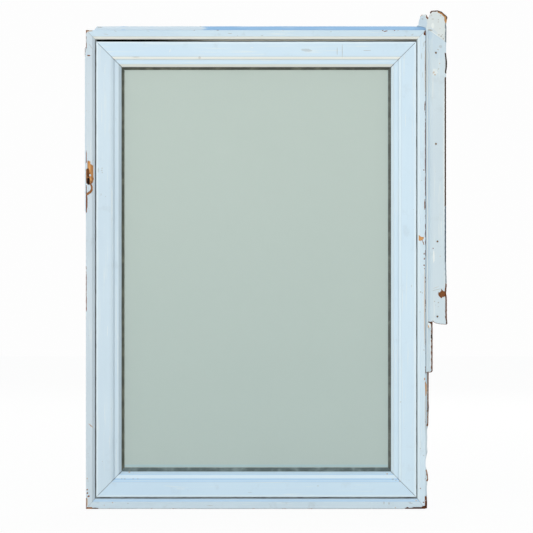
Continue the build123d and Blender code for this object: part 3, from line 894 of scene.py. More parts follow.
@dataclass(frozen=True)
class Member:
    """One mitred member, swept along its side of a ring."""

    name: str
    profile: Profile
    ring: Ring
    fit: Fit
    side: Side
    spacing: float = 7.0
    end_rows: tuple[float, ...] = (0.4, 0.95, 1.6, 4.0)
    uneven: float = 0.22
    mitre: float = 0.6
    grime_at_mitre: float = 0.9
    dense: tuple[tuple[float, float, float], ...] = ()
    damage: tuple[Damage, ...] = ()
    stripes: tuple[Stripe, ...] = ()
    face: float = 0.0
    worn: Callable[[np.ndarray], np.ndarray] | None = None
    soil_and_shade: Callable[[np.ndarray], np.ndarray] | None = None
    sunk: Callable[[np.ndarray], np.ndarray] | None = None
    seed: int = 1

    def stations(self) -> np.ndarray:
        """Places of the rows, from -1 at one end to 1 at the other."""
        half = self.ring.half(self.side)
        middle = 0.0 if self.side.level else self.ring.foot + self.ring.height / 2
        rows = set(np.linspace(-half, half, math.ceil(2 * half / self.spacing) + 1).round(3))
        for start, end, step in self.dense:
            rows |= set(np.arange(start - middle, end - middle, step).round(3))
        for inset in self.end_rows:
            rows |= {half - inset, inset - half}
        ordered = np.array(sorted(r for r in rows if -half <= r <= half))
        keep = np.concatenate([[True], np.diff(ordered) > 0.25])
        keep[-1] = True
        return ordered[keep] / half

    def build(self) -> bpy.types.Object:
        """Sweeps the section, wears it and cuts its damage.

        Returns:
            The member as an object.
        """
        loop, arris = self.profile.loop()
        into = self.profile.inward(loop)
        stations = self.stations()
        half = self.ring.half(self.side)
        count, width = len(stations), len(loop)
        low, high = (Side.LEFT, Side.RIGHT) if self.side.level else (Side.BOTTOM, Side.TOP)
        own, first, last = (self.fit.inset(side, loop[:, 0], loop[:, 1]) for side in (self.side, low, high))
        inset = np.where(stations[:, None] < 0, first, last)
        u = np.tile(own, (count, 1))
        v = np.tile(loop[:, 1], (count, 1))
        along = stations[:, None] * (half - inset)
        places = self.ring.points(self.side, u, v, along)
        if self.sunk is not None:
            v = v + self.sunk(places) * self.fit.share(v)
        end = (1 - np.abs(stations))[:, None] * (half - inset)
        sink = self.uneven * (0.5 + 0.5 * wobble(places, 90.0, self.seed)) * (0.4 + 0.6 * smooth(end / 20))
        sink = sink + 0.25 * arris * (0.5 + 0.5 * wobble(places, 17.0, self.seed + 5))
        groove = smooth(1.3 - end / 0.7)
        sink = sink + self.mitre * groove
        u = u + into[:, 0] * sink
        v = v + into[:, 1] * sink
        cells = Cells(self.ring.points(self.side, u, v, along).reshape(-1, 3))
        cells.values["arris"][:] = np.tile(arris, (count, 1)).reshape(-1)
        cells.values["worn"][:] = 0.2 if self.worn is None else self.worn(cells.points)
        for stripe in self.stripes:
            cells.raise_to(stripe.name, np.tile(stripe.share(loop), (count, 1)))
        cells.raise_to("grime_and_shade", groove * self.grime_at_mitre)
        cells.raise_to("shade", groove * self.grime_at_mitre * 0.6)
        if self.soil_and_shade is not None:
            cells.raise_to("grime_and_shade", self.soil_and_shade(cells.points))
        for damage in self.damage:
            damage.carve(cells, self.face)
        faces = []
        for row in range(count - 1):
            low_row, high_row = row * width, (row + 1) * width
            for column in range(width):
                after = (column + 1) % width
                faces.append((low_row + column, low_row + after, high_row + after, high_row + column))
        faces.append(tuple(range(width)))
        faces.append(tuple((count - 1) * width + column for column in range(width)))
        return cells.piece(self.name, faces)


@dataclass(frozen=True)
class Layer:
    """Row of points down a board's side.

    share is its place from front to back, arris how much an arris shows on it, and depth is in millimetres as
    the bands along the edge count it.
    """

    share: float
    arris: float
    depth: float


BOARD_FACE, BOARD_BACK = Layer(0.0, 1.0, 0.0), Layer(1.0, 0.5, 9.0)
BOARD_LAYERS = (Layer(0.2, 0.4, 0.0), Layer(0.45, 0.1, 0.4), Layer(0.7, 0.1, 1.8), Layer(0.9, 0.3, 5.0))


@dataclass(frozen=True)
class Slab:
    """Flat board with an outline in (x, z), a shaped weather face and raw or painted sides."""

    name: str
    outline: tuple[Point, ...]
    start: float
    thickness: float
    spacing: float = 3.0
    edge_spacing: float = 1.6
    jitter: float = 0.2
    rounding: float = 0.8
    uneven: float = 0.25
    holes: tuple[tuple[float, float, float], ...] = ()
    shape: Callable[[np.ndarray], np.ndarray] | None = None
    worn: Callable[[np.ndarray], np.ndarray] | None = None
    bands: tuple[Band, ...] = ()
    damage: tuple[Damage, ...] = ()
    seams: tuple[tuple[Point, Point], ...] = ()
    insets: tuple[float, ...] = (0.5, 1.1)
    seed: int = 1

    def _free(self, outline: np.ndarray) -> np.ndarray:
        """Which edges of the outline aren't joined to a neighbour."""
        middles = (outline + following(outline)) / 2
        free = np.ones(len(middles), bool)
        for a, b in self.seams:
            start, run = np.array(a), np.array(b) - np.array(a)
            share = np.clip((middles - start) @ run / (run @ run), 0, 1)
            free &= np.linalg.norm(middles - start - share[:, None] * run, axis=1) > 0.8
        return free

    def _divided(self, outline: np.ndarray) -> np.ndarray:
        """The outline with points at the edge spacing, slightly ragged."""
        points = []
        for a, b in zip(outline, following(outline)):
            count = max(1, round(np.linalg.norm(b - a) / self.edge_spacing))
            points.extend(a + (b - a) * step / count for step in range(count))
        divided = np.array(points)
        flat = np.stack([divided[:, 0], divided[:, 0] * 0, divided[:, 1]], axis=1)
        ragged = (0.5 + 0.5 * wobble(flat, 9.0, self.seed + 3)) * self.jitter
        ragged = ragged * (self._free(divided) & np.roll(self._free(divided), 1))
        return divided + leftward(divided) * ragged[:, None]

    def _circle(self, x: float, z: float, radius: float) -> np.ndarray:
        """Outline of a round hole."""
        turns = np.linspace(0, 2 * math.pi, 14, endpoint=False)
        return np.stack([x + radius * np.cos(turns), z + radius * np.sin(turns)], axis=1)

    def build(self) -> bpy.types.Object:
        """Fills the outline, rounds its edge, shapes its face and gives it sides.

        Returns:
            The board as an object.
        """
        corners = np.array(self.outline, float)
        if turning(corners) < 0:
            corners = corners[::-1]
        loops = [self._divided(corners)] + [self._circle(*hole) for hole in self.holes]
        low, high = corners.min(0), corners.max(0)
        grid = np.stack(np.meshgrid(
            np.arange(low[0] + self.spacing / 2, high[0], self.spacing),
            np.arange(low[1] + self.spacing / 2, high[1], self.spacing),
        ), axis=-1).reshape(-1, 2)
        rings = []
        for inset in self.insets:
            ring = loops[0] + leftward(loops[0]) * inset
            inside, distance = edge_distance(ring, loops[0])
            rings.append(ring[inside & (distance > inset * 0.9)])
        inside, distance = edge_distance(grid, loops[0])
        keep = inside & (distance > self.insets[-1] + self.spacing * 0.3)
        for hole in loops[1:]:
            within, near = edge_distance(grid, hole)
            keep &= ~within & (near > 1.0)
        flat = np.concatenate(loops + rings + [grid[keep]])
        edges, start = [], 0
        for loop in loops:
            edges += [(start + i, start + (i + 1) % len(loop)) for i in range(len(loop))]
            start += len(loop)
        filled = geometry.delaunay_2d_cdt([Vector(p) for p in flat.tolist()], edges, [], 0, 1e-4)
        flat = np.array([tuple(p) for p in filled[0]])
        triangles = np.array([tuple(f) for f in filled[2]])
        middles = flat[triangles].mean(1)
        kept = edge_distance(middles, loops[0])[0]
        for hole in loops[1:]:
            kept &= ~edge_distance(middles, hole)[0]
        return self._thicken(flat, triangles[kept], loops)

    def _thicken(self, flat: np.ndarray, triangles: np.ndarray, loops: list[np.ndarray]) -> bpy.types.Object:
        """Turns the filled outline into a solid board."""
        used, triangles = np.unique(triangles, return_inverse=True)
        flat, triangles = flat[used], triangles.reshape(-1, 3)
        outer = edge_distance(flat, loops[0], self._free(loops[0]))[1]
        distance = np.min([outer] + [edge_distance(flat, loop)[1] for loop in loops[1:]], axis=0)
        places = np.stack([flat[:, 0], flat[:, 0] * 0 + FRONT + self.start, flat[:, 1]], axis=1)
        sink = self.rounding * (1 - np.sqrt(1 - (1 - np.clip(distance / self.rounding, 0, 1)) ** 2))
        sink = sink + self.uneven * (0.5 + 0.5 * wobble(places, 60.0, self.seed))
        if self.shape is not None:
            sink = sink + self.shape(flat)
        counts: dict[tuple[int, int], int] = {}
        for a, b, c in triangles.tolist():
            for edge in ((a, b), (b, c), (c, a)):
                key = (min(edge), max(edge))
                counts[key] = counts.get(key, 0) + 1
        border = [edge for edge, times in counts.items() if times == 1]
        rim = sorted({point for edge in border for point in edge})
        number = {point: place for place, point in enumerate(rim)}
        front = places + np.stack([sink * 0, sink, sink * 0], axis=1)
        back = places * [1, 0, 1] + [0, FRONT + self.start + self.thickness, 0]
        sides = []
        away = flat[rim] - flat.mean(0)
        away /= np.maximum(np.linalg.norm(away, axis=1), 1e-9)[:, None]
        for layer in BOARD_LAYERS:
            side = front[rim] * (1 - layer.share) + back[rim] * layer.share
            rough = np.abs(0.35 * self.jitter * wobble(side * [1, 3, 1], 5.0, self.seed + 8))
            side[:, 0] -= rough * away[:, 0]
            side[:, 2] -= rough * away[:, 1]
            sides.append(side)
        total = len(flat)
        cells = Cells(np.concatenate([front, back] + sides))
        every = np.concatenate([outer, outer] + [outer[rim]] * len(sides))
        layers, sizes = (BOARD_FACE, BOARD_BACK, *BOARD_LAYERS), [total, total] + [len(rim)] * len(sides)
        held = np.repeat([layer.arris for layer in layers], sizes)
        deep = np.repeat([layer.depth for layer in layers], sizes)
        deep = deep * (1 + 0.9 * wobble(cells.points * [1, 0, 1], 9.0, self.seed + 3))
        cells.values["arris"][:] = np.exp(-(every / ARRIS_REACH) ** 2) * held
        cells.values["worn"][:] = 0.2 if self.worn is None else self.worn(cells.points)
        for damage in self.damage:
            damage.carve(cells, self.start)
        for band in self.bands:
            band.lay(cells, every + np.maximum(deep, 0))
        faces = [tuple(t) for t in triangles.tolist()]
        faces += [tuple(total + i for i in reversed(t)) for t in triangles.tolist()]
        bases = [2 * total + layer * len(rim) for layer in range(len(sides))]
        for a, b in border:
            row_a = [a, *(base + number[a] for base in bases), total + a]
            row_b = [b, *(base + number[b] for base in bases), total + b]
            for upper, lower in zip(range(len(row_a)), range(1, len(row_a))):
                faces.append((row_a[upper], row_b[upper], row_b[lower], row_a[lower]))
        return cells.piece(self.name, faces, 50.0)


FRAME_RING = Ring(678.0, FRAME_HEIGHT, 0.0)
SASH_RING = Ring(638.0, 913.0, 20.5)
FRAME_INNER = {Side.TOP: 18.5, Side.BOTTOM: 20.8, Side.LEFT: 18.5, Side.RIGHT: 16.5}
FRAME_FIT = Fit({side: 0.0 for side in Side}, FRAME_INNER, 17.5, 6.0, 20.0)
SEAL_FIT = Fit({side: 0.0 for side in Side}, FRAME_INNER, 17.5, 10.0, 20.0)
SASH_OUTER = {Side.TOP: 0.5, Side.BOTTOM: 3.3, Side.LEFT: 0.5, Side.RIGHT: -1.5}
SASH_INNER = {side: outer + 50.0 for side, outer in SASH_OUTER.items()}
SASH_FIT = Fit(SASH_OUTER, SASH_INNER, 50.0, 15.9, 16.0)
GASKET_FIT = Fit(SASH_OUTER, {**SASH_INNER, Side.BOTTOM: 55.3}, 50.0, 18.5, 19.0)


def beside(points: np.ndarray, level: float, spans: Sequence[tuple[float, float, float]]) -> np.ndarray:
    """Wear that changes with height.

    Args:
        points: places, one a row.
        level: wear elsewhere.
        spans: (upper row, lower row, wear) of the photograph.

    Returns:
        The wear at each place.
    """
    worn = np.zeros(len(points)) + level
    for top, foot, value in spans:
        inside = between(points[:, 2], up(foot), up(top), 6.0)
        worn = np.where(inside > 0.01, worn * (1 - inside) + value * inside, worn)
    return worn


@dataclass
class OuterFrame:
    """The mitred outer frame: head, sill and two jambs, with the breaks that the photograph shows."""

    face_width: float = 17.5
    bevel_width: float = 5.5
    bevel_depth: float = 4.5
    depth: float = 74.0
    groove_start: float = 20.0
    groove_width: float = 3.0
    groove_depth: float = 4.0
    wear: float = 0.16
    jamb_rim: float = 5.0
    level_rim: float = 6.0

    def profile(self) -> Profile:
        """Cross section of a frame member."""
        inner = self.face_width - self.groove_depth
        return Profile((
            Corner(0, 0, 1.5, 1.0),
            Corner(self.face_width - self.bevel_width, 0, 0.9, 0.3),
            Corner(self.face_width, self.bevel_depth, 0.9, 0.4),
            Corner(self.face_width, self.groove_start),
            Corner(inner, self.groove_start),
            Corner(inner, self.groove_start + self.groove_width),
            Corner(self.face_width, self.groove_start + self.groove_width),
            Corner(self.face_width, self.depth),
            Corner(0, self.depth),
        ), fine=1.1)

    def stripes(self, tint: PaintedLight, value: float) -> tuple[Stripe, ...]:
        """Painted light on the bevel in the tint given, a darker line where the bevel starts, and painted shade
        with dirt on the wall of the gap behind it.
        """
        start = self.face_width - self.bevel_width
        return (
            Stripe(start - 0.1, start + 0.9, "grime_and_shade", 0.34 if tint is PaintedLight.CREAM else 0.16, 1.5),
            Stripe(start + 0.5, self.face_width + 1, tint.value, value, self.bevel_depth + 1.5),
            # Painted shade with dirt down the wall of the gap between frame and sash.
            Stripe(self.face_width - 1, self.face_width + 1, "grime_and_shade", 0.8, self.depth, self.bevel_depth + 2.0),
        )

    def chip(self) -> tuple[Damage, ...]:
        """The splintered chip in the left jamb, its rotten hollow and the split below it."""
        outline = (
            (88.5, 160.6), (90, 161.6), (90.4, 163.8), (93.1, 165.6), (93.2, 176.8), (93.7, 179), (92.9, 182.4),
            (91.4, 184), (88.5, 184.9), (86.3, 183.2), (85.8, 177), (85.9, 169.4), (87.2, 168.6), (87.2, 161.6),
        )
        light = ((87.3, 161), (90.1, 161.4), (90.4, 165.5), (90, 172.5), (88.8, 174), (87.2, 168.5))
        streak = ((87.4, 167.6), (88.8, 169), (89.6, 173.5), (89.4, 177.4), (87.2, 177), (86.8, 171))
        remnant = ((89.3, 174.1), (90.4, 173.6), (91.1, 175.2), (90.6, 176.4), (89.2, 176.2))
        lower = (
            (86, 177), (93.5, 177.6), (93.5, 179), (92.7, 182.4), (91.4, 184), (88.5, 184.9), (86.3, 183.2),
        )
        void = ((86.9, 178.4), (88.8, 177.4), (89.7, 179.5), (89.5, 182.6), (88.7, 184.8), (87.1, 183.4))
        sliver = ((89.7, 176.8), (91.2, 176.8), (91.5, 181.6), (90.6, 184.6), (89.8, 182.6))
        split = (
            (90.2, 184.2), (91.8, 184.2), (92.9, 187.2), (92.7, 190.4), (91.4, 192.9), (88.9, 194.4),
            (86.6, 195.9), (85.7, 194.9), (86.6, 192.9), (89.2, 191.4), (90.4, 190), (90.9, 188.2), (90.5, 186),
        )
        worn = ((85.6, 194.6), (87.2, 194.8), (87.5, 203), (87, 212.4), (85.6, 212.8))
        return (
            Damage(outline, 2.4, 4.0, 0.5, 0.9, 0.6),
            Damage(light, 2.6, 3.0, 0.5, 0.5, 1.0),
            Damage(streak, 4.4, 5.0, 0.8, 0.5, 0.1, 0.45),
            Damage(remnant, 4.4, 4.4, 0.3, 0.2, bare=0.0),
            Damage(lower, 3.6, 5.0, 0.5, 0.9, 0.35, 0.1),
            Damage(void, 7.5, 8.6, 1.0, 0.3, 0.0, 1.0),
            Damage(sliver, 3.0, 3.4, 0.4, 0.3, 1.0),
            Damage(split, 1.6, 1.8, 0.35, 0.2, 0.3),
            Damage(worn, 1.2, 1.2, 0.35, 0.2, 0.0, 0.1),
        )

    def corner_break(self) -> tuple[Damage, ...]:
        """Wood broken off the lower right corner."""
        outline = (
            (421.6, 507.6), (422.6, 506.2), (425, 505.9), (425.6, 505.2), (427.6, 505), (427.6, 511),
            (421, 511),
        )
        foot = (
            (405, 508.2), (407.6, 507.3), (409.4, 508), (414, 507.3), (420.6, 507.2), (423, 506.6),
            (427.6, 506.4), (427.6, 511), (405, 511),
        )
        # The dark foot strip is broken wood, darkened as painted shadow under the sill.
        return (Damage(foot, 2.6, 3.2, 0.5, 0.4, 0.0, 0.7), Damage(outline, 4.0, 4.6, 0.7, 0.6, 0.0, 0.4))

    def left_foot(self) -> tuple[Damage, ...]:
        """The dark hollow under the lower left corner, made darker as painted shadow under the sill, and the tan
        wood beside it.
        """
        dark = ((92.2, 508.7), (93.6, 507.9), (96, 508), (98.6, 508.6), (98.6, 511), (92.2, 511))
        tan = ((86, 507.6), (87.2, 507.2), (90, 507), (92.4, 507.6), (93, 508.6), (92, 511), (86, 511))
        return (Damage(tan, 1.6, 2.0, 0.5, 0.4, 0.4, 0.1), Damage(dark, 3.0, 3.4, 0.5, 0.3, 0.0, 0.9))

    def right_chip(self) -> tuple[Damage, ...]:
        """The tan chip half way up the right jamb, and its brown marks at the top and on the edge."""
        chip = (
            (418, 234.9), (419, 235), (420.3, 236.3), (422, 237), (423.8, 237), (423.6, 238.5), (422.5, 240.2),
            (420.5, 240.8), (418, 240.6), (417.8, 238),
        )
        crack = ((422.2, 240.2), (422.8, 240.3), (424.4, 244.6), (424, 245.2), (422.6, 242.4))
        drip = (
            (422.6, 28.7), (425, 28.6), (426.8, 29.6), (426.8, 33.8), (425.6, 35.6), (423.9, 35), (423.6, 33.2),
            (424.6, 31.2), (424.2, 29.8),
        )
        edge = ((425, 382), (426.4, 381.4), (426.8, 396.6), (425.4, 396))
        return (
            Damage(chip, 1.5, 2.0, 0.5, 0.5, 1.0),
            Damage(crack, 0.9, 0.9, 0.4, 0.1, 0.2),
            Damage(drip, 0.7, 0.9, 0.5, 0.2, 0.0, 0.35),
            Damage(edge, 1.5, 1.8, 0.5, 0.3, 0.85),
        )

    def place(
        self, name: str, side: Side, node: str, paint: OilPaint, marks: tuple[Mark, ...], **options: object
    ) -> None:
        """Sweeps, paints and seats one member.

        Args:
            name: the piece's name.
            side: its side of the ring.
            node: the CAD node that it stands for.
            paint: its paint.
            marks: its marks.
            options: other fields of the member.
        """
        member = Member(
            name, self.profile(), FRAME_RING, FRAME_FIT, side, mitre=0.2, grime_at_mitre=0.3, **options)
        piece = member.build()
        paint.dress(piece, marks)
        put(piece, "painted_wood", node)

    def build(self) -> None:
        """Makes and dresses the four members."""
        # The members' paint tones differ, the left jamb and the sill darker and the right jamb lighter: partly
        # the paint's own, partly painted light falling from the upper right.
        self.build_left()
        self.build_right()
        self.build_head()
        self.build_sill()

    def build_left(self) -> None:
        """The left jamb, chipped a third of the way down and worn along its outer edge."""
        spans = (
            (27, 33, 0.75), (36, 48, 0.62), (152, 163, 0.7), (186, 212, 0.8), (268, 312, 0.6), (496, 509, 0.7),
        )
        marks = (
            *MarkKind.OLD_WOOD.at(
                (88.7, 55.5, 1.8, 0.7, 0, 0.5), (87.2, 489.6, 0.8, 0.8), (87.4, 493.1, 0.8, 1, 30),
                (88.6, 496.2, 1.2, 0.9, -24), (89.9, 507.6, 3.2, 0.8), (86.5, 30.2, 0.9, 1.6, 20),
                (95.4, 163.5, 0.5, 6, 0, 0.9, 0.7),
            ),
            *MarkKind.STAIN.at(
                (88.7, 31.4, 3.4, 0.7, -8), (87.2, 478.6, 0.6, 0.8), (87, 502, 0.7, 4.6, 0, 0.4),
            ),
            *MarkKind.SCUFF.at((90.7, 46.4, 0.3, 3.4, -34, 0.4, 0.8), (88, 481, 0.4, 0.6)),
            *MarkKind.FRESH_WOOD.at((90.7, 425.5, 0.35, 3.6, -48, 0.6, 0.6)),
        )
        self.place(
            "left_jamb", Side.LEFT, "frame_jamb_left",
            OilPaint(srgb(204, 215, 223), srgb(193, 207, 217), Grain.UPRIGHT, 0.55, 0.6, 0.85), marks,
            # Painted shade on the bevel, which faces away from the light.
            stripes=self.stripes(PaintedLight.SHADE, 0.1), damage=self.chip(), seed=3,
            dense=((up(197), up(158), 0.6), (up(214), up(197), 1.6)),
            worn=lambda p: np.where(p[:, 0] < self.jamb_rim - HALF_WIDTH, beside(p, 0.22, spans), self.wear),
        )

    def build_right(self) -> None:
        """The right jamb, with fine brown dashes down its outer edge."""
        spans = ((38, 130, 0.4), (130, 265, 0.52), (265, 346, 0.3), (496, 510, 1.0))
        marks = (
            *MarkKind.SCUFF.at(
                (420.6, 292, 0.7, 0.6), (422.3, 292.9, 0.5, 0.5), (420, 312, 0.5, 0.5),
                (420.5, 448.5, 0.5, 0.5), (423.6, 455.5, 0.5, 0.5), (424, 350, 0.4, 1.2),
                (421.8, 180.4, 0.4, 0.5), (421.6, 56, 0.5, 3.4, 0, 1, 0.6), (424, 44, 0.5, 3, 8, 1, 0.7),
                (422.4, 75, 0.4, 3, 0, 1, 0.5),
            ),
            *MarkKind.FRESH_WOOD.at((424.6, 379, 0.5, 1.6, 0, 0.6, 0.7)),
            *MarkKind.OLD_WOOD.at(
                (420.4, 488.5, 0.6, 0.6, 0, 0.7, 0.7), (423.5, 502.3, 0.7, 0.7, 0, 0.7, 0.8),
                (423.8, 170, 0.6, 0.6), (424.1, 265.2, 0.7, 0.8), (424.1, 253.8, 0.5, 0.9),
                (424.3, 258.8, 0.5, 1), (424.4, 268.6, 0.4, 0.6), (424.6, 205, 0.4, 6, 0, 1.2, 0.8),
                (424.8, 107, 0.4, 5, 0, 1.2, 0.8),
            ),
            *MarkKind.STAIN.at(
                (424.7, 306, 0.55, 42, 0, 0.5, 0.8), (425.3, 70, 0.6, 26, 0, 0.9, 0.8),
                (425.5, 412, 0.5, 20, 0, 0.7, 0.6), (425.2, 154, 0.4, 40, 0, 0.9, 0.5),
            ),
        )
        self.place(
            "right_jamb", Side.RIGHT, "frame_jamb_right",
            OilPaint(srgb(210, 226, 236), srgb(200, 218, 231), Grain.UPRIGHT, 0.6, 0.45, 0.6), marks,
            # Painted highlight on the bevel, which faces the light.
            stripes=self.stripes(PaintedLight.PALE, 0.7), damage=self.right_chip() + self.corner_break(), seed=4,
            dense=((up(246), up(232), 0.7), (up(38), up(27), 0.7), (0.0, 12.0, 0.8), (up(398), up(379), 1.6)),
            worn=lambda p: np.where(p[:, 0] > HALF_WIDTH - self.jamb_rim, beside(p, 0.25, spans), self.wear),
        )

    def build_head(self) -> None:
        """The head, its bevel in painted warm light reflected from below."""
        marks = (
            *MarkKind.OLD_WOOD.at(
                (385.6, 31.2, 2.4, 0.45, -14, 0.8), (382.8, 30.4, 0.9, 0.4, -20, 0.8),
                (420.3, 28.7, 1.6, 0.5, 6, 0.9, 0.8), (405, 29.1, 6, 0.35, 0, 0.8, 0.7),
                (394.4, 30.4, 0.9, 0.4, 30, 0.9, 0.6),
            ),
            *MarkKind.STAIN.at((398, 30.2, 0.7, 0.5, 40), (89.6, 31, 3.4, 0.6, -6, 0.9)),
            *MarkKind.SCUFF.at(
                (230, 33.4, 2.2, 0.3, 3), (106, 34.2, 2.4, 0.4, 8, 0.9, 0.5),
                (115.5, 31.2, 1.6, 0.3, 30, 0.9, 0.6), (148, 31, 1.8, 0.35, 12, 0.9, 0.5),
                (262, 35.5, 1.4, 0.5, 0, 0.9, 0.5), (331, 31.6, 1, 0.4, 0, 0.9, 0.6),
                (412.4, 34.6, 1.6, 0.6, -30, 0.9, 0.5), (405.4, 36, 1.4, 0.5, 10, 0.9, 0.5),
            ),
            # A painted highlight along the head's top arris.
            *MarkKind.PALE.at((220, 29, 130, 0.4, 0, 0.6, 0.9)),
        )
        worn_end = across(89)
        self.place(
            "head", Side.TOP, "frame_head",
            OilPaint(srgb(204, 222, 234), srgb(193, 213, 228), Grain.LEVEL, 0.5, 0.5, 0.4), marks,
            # Painted warm light on the down-facing bevel.
            stripes=self.stripes(PaintedLight.CREAM, 0.8), seed=5,
            worn=lambda p: np.where(
                p[:, 2] > FRAME_HEIGHT - self.level_rim, np.where(p[:, 0] < worn_end, 0.8, 0.22), self.wear),
        )

    def build_sill(self) -> None:
        """The sill, broken at both ends of its foot."""
        marks = (
            *MarkKind.SCUFF.at(
                (411, 503.3, 2, 0.5, 0, 0.9, 0.6), (409.6, 502.2, 1.6, 0.4, 0, 0.9, 0.6),
                (210, 505.5, 3, 0.3, 2, 0.8, 0.7), (384, 503, 0.4, 1.4), (389, 503.4, 0.5, 1.2),
                (128, 503.4, 0.6, 0.4),
            ),
            *MarkKind.FRESH_WOOD.at((416.4, 500.7, 1.2, 0.5, 0, 0.7, 0.5)),
            *MarkKind.OLD_WOOD.at((407.4, 507.6, 1.4, 0.5, 0, 0.9)),
            *MarkKind.STAIN.at(
                (395.4, 507.6, 0.7, 0.4), (112.6, 502.6, 0.6, 0.5), (104.2, 505.2, 0.5, 0.5, 0, 0.8, 0.7),
            ),
        )
        left_end, right_end = across(98), across(406)
        self.place(
            "sill", Side.BOTTOM, "frame_sill",
            OilPaint(srgb(204, 219, 229), srgb(194, 211, 223), Grain.LEVEL, 0.5, 0.55, 0.7), marks,
            # Painted sky light on the up-facing bevel and in a bluer line on it; a dark line of dirt and painted
            # shadow under the sill along the foot's front arris.
            stripes=self.stripes(PaintedLight.COLD, 0.3) + (
                Stripe(-1.0, 1.3, "grime_and_shade", 0.6, 3.0), Stripe(12.6, 14.6, "cold", 0.8)),
            damage=self.corner_break() + self.left_foot(), seed=6,
            dense=((295.0, 339.0, 0.9), (-339.0, -308.0, 0.9)),
            worn=lambda p: np.where(
                p[:, 2] < self.level_rim, np.where((p[:, 0] < left_end) | (p[:, 0] > right_end), 1.0, 0.3),
                self.wear),
        )


@dataclass
class LeafSeal:
    """Rubber leaf between frame and sash, sunk back along the left of the head."""

    groove: float = 13.5
    face: float = 17.5
    start: float = 20.0
    end: float = 26.0
    sunk: float = 15.0

    def profile(self) -> Profile:
        """Cross section: a stem in the frame's groove and a leaf that comes forward in the gap."""
        stem_end = self.start + 3.0
        return Profile((
            Corner(self.groove, self.start),
            Corner(self.face, self.start),
            Corner(self.face + 0.7, 7.2),
            Corner(self.face + 2.1, 6.4),
            Corner(self.face + 2.3, 7.6),
            Corner(self.face + 1.75, self.end),
            Corner(self.face, self.end),
            Corner(self.face, stem_end),
            Corner(self.groove, stem_end),
        ), fine=3.0)

    def left_out(self, places: np.ndarray) -> np.ndarray:
        """1 along the left of the head, where the leaf has sunk back, and 0 from the middle on."""
        return smooth((across(228) - places[..., 0]) / (across(228) - across(145)))

    def dirt(self, points: np.ndarray) -> np.ndarray:
        """Painted shade at the head leaf's left end, deep in the gap, with dull dirt at its right end."""
        right = smooth((points[:, 0] - across(346)) / (across(420) - across(346))) * 0.62
        return np.maximum(self.left_out(points), right)

    def build(self) -> None:
        """Makes the four leaves."""
        # Tones by side. The side leaves' pale tones lift the narrow, shaded gap: painted light. The head's soil
        # is near black: painted shade where the leaf lies deep at the left, dull dirt towards the right.
        tones = {
            Side.TOP: (srgb(212, 208, 194), srgb(14, 15, 16)),
            Side.BOTTOM: (srgb(176, 182, 182), srgb(112, 114, 112)),
            Side.LEFT: (srgb(196, 200, 200), srgb(120, 116, 108)),
            Side.RIGHT: (srgb(196, 200, 198), srgb(118, 116, 110)),
        }
        for side in Side:
            top = side is Side.TOP
            member = Member(
                f"seal_{side.value}", self.profile(), FRAME_RING, SEAL_FIT, side, uneven=0.3, mitre=0.0,
                grime_at_mitre=0.3, seed=70, spacing=5.0, soil_and_shade=self.dirt if top else None,
                sunk=(lambda p: self.left_out(p) * self.sunk) if top else None,
            )
            piece = member.build()
            tone, soil = tones[side]
            PlainFinish("seal", tone, soil, 0.7, 0.0, 0.1 if top else 0.7, 400.0, 0.1).dress(piece)
            put(piece, "glazing_rubber")
        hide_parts("leaf_seal")


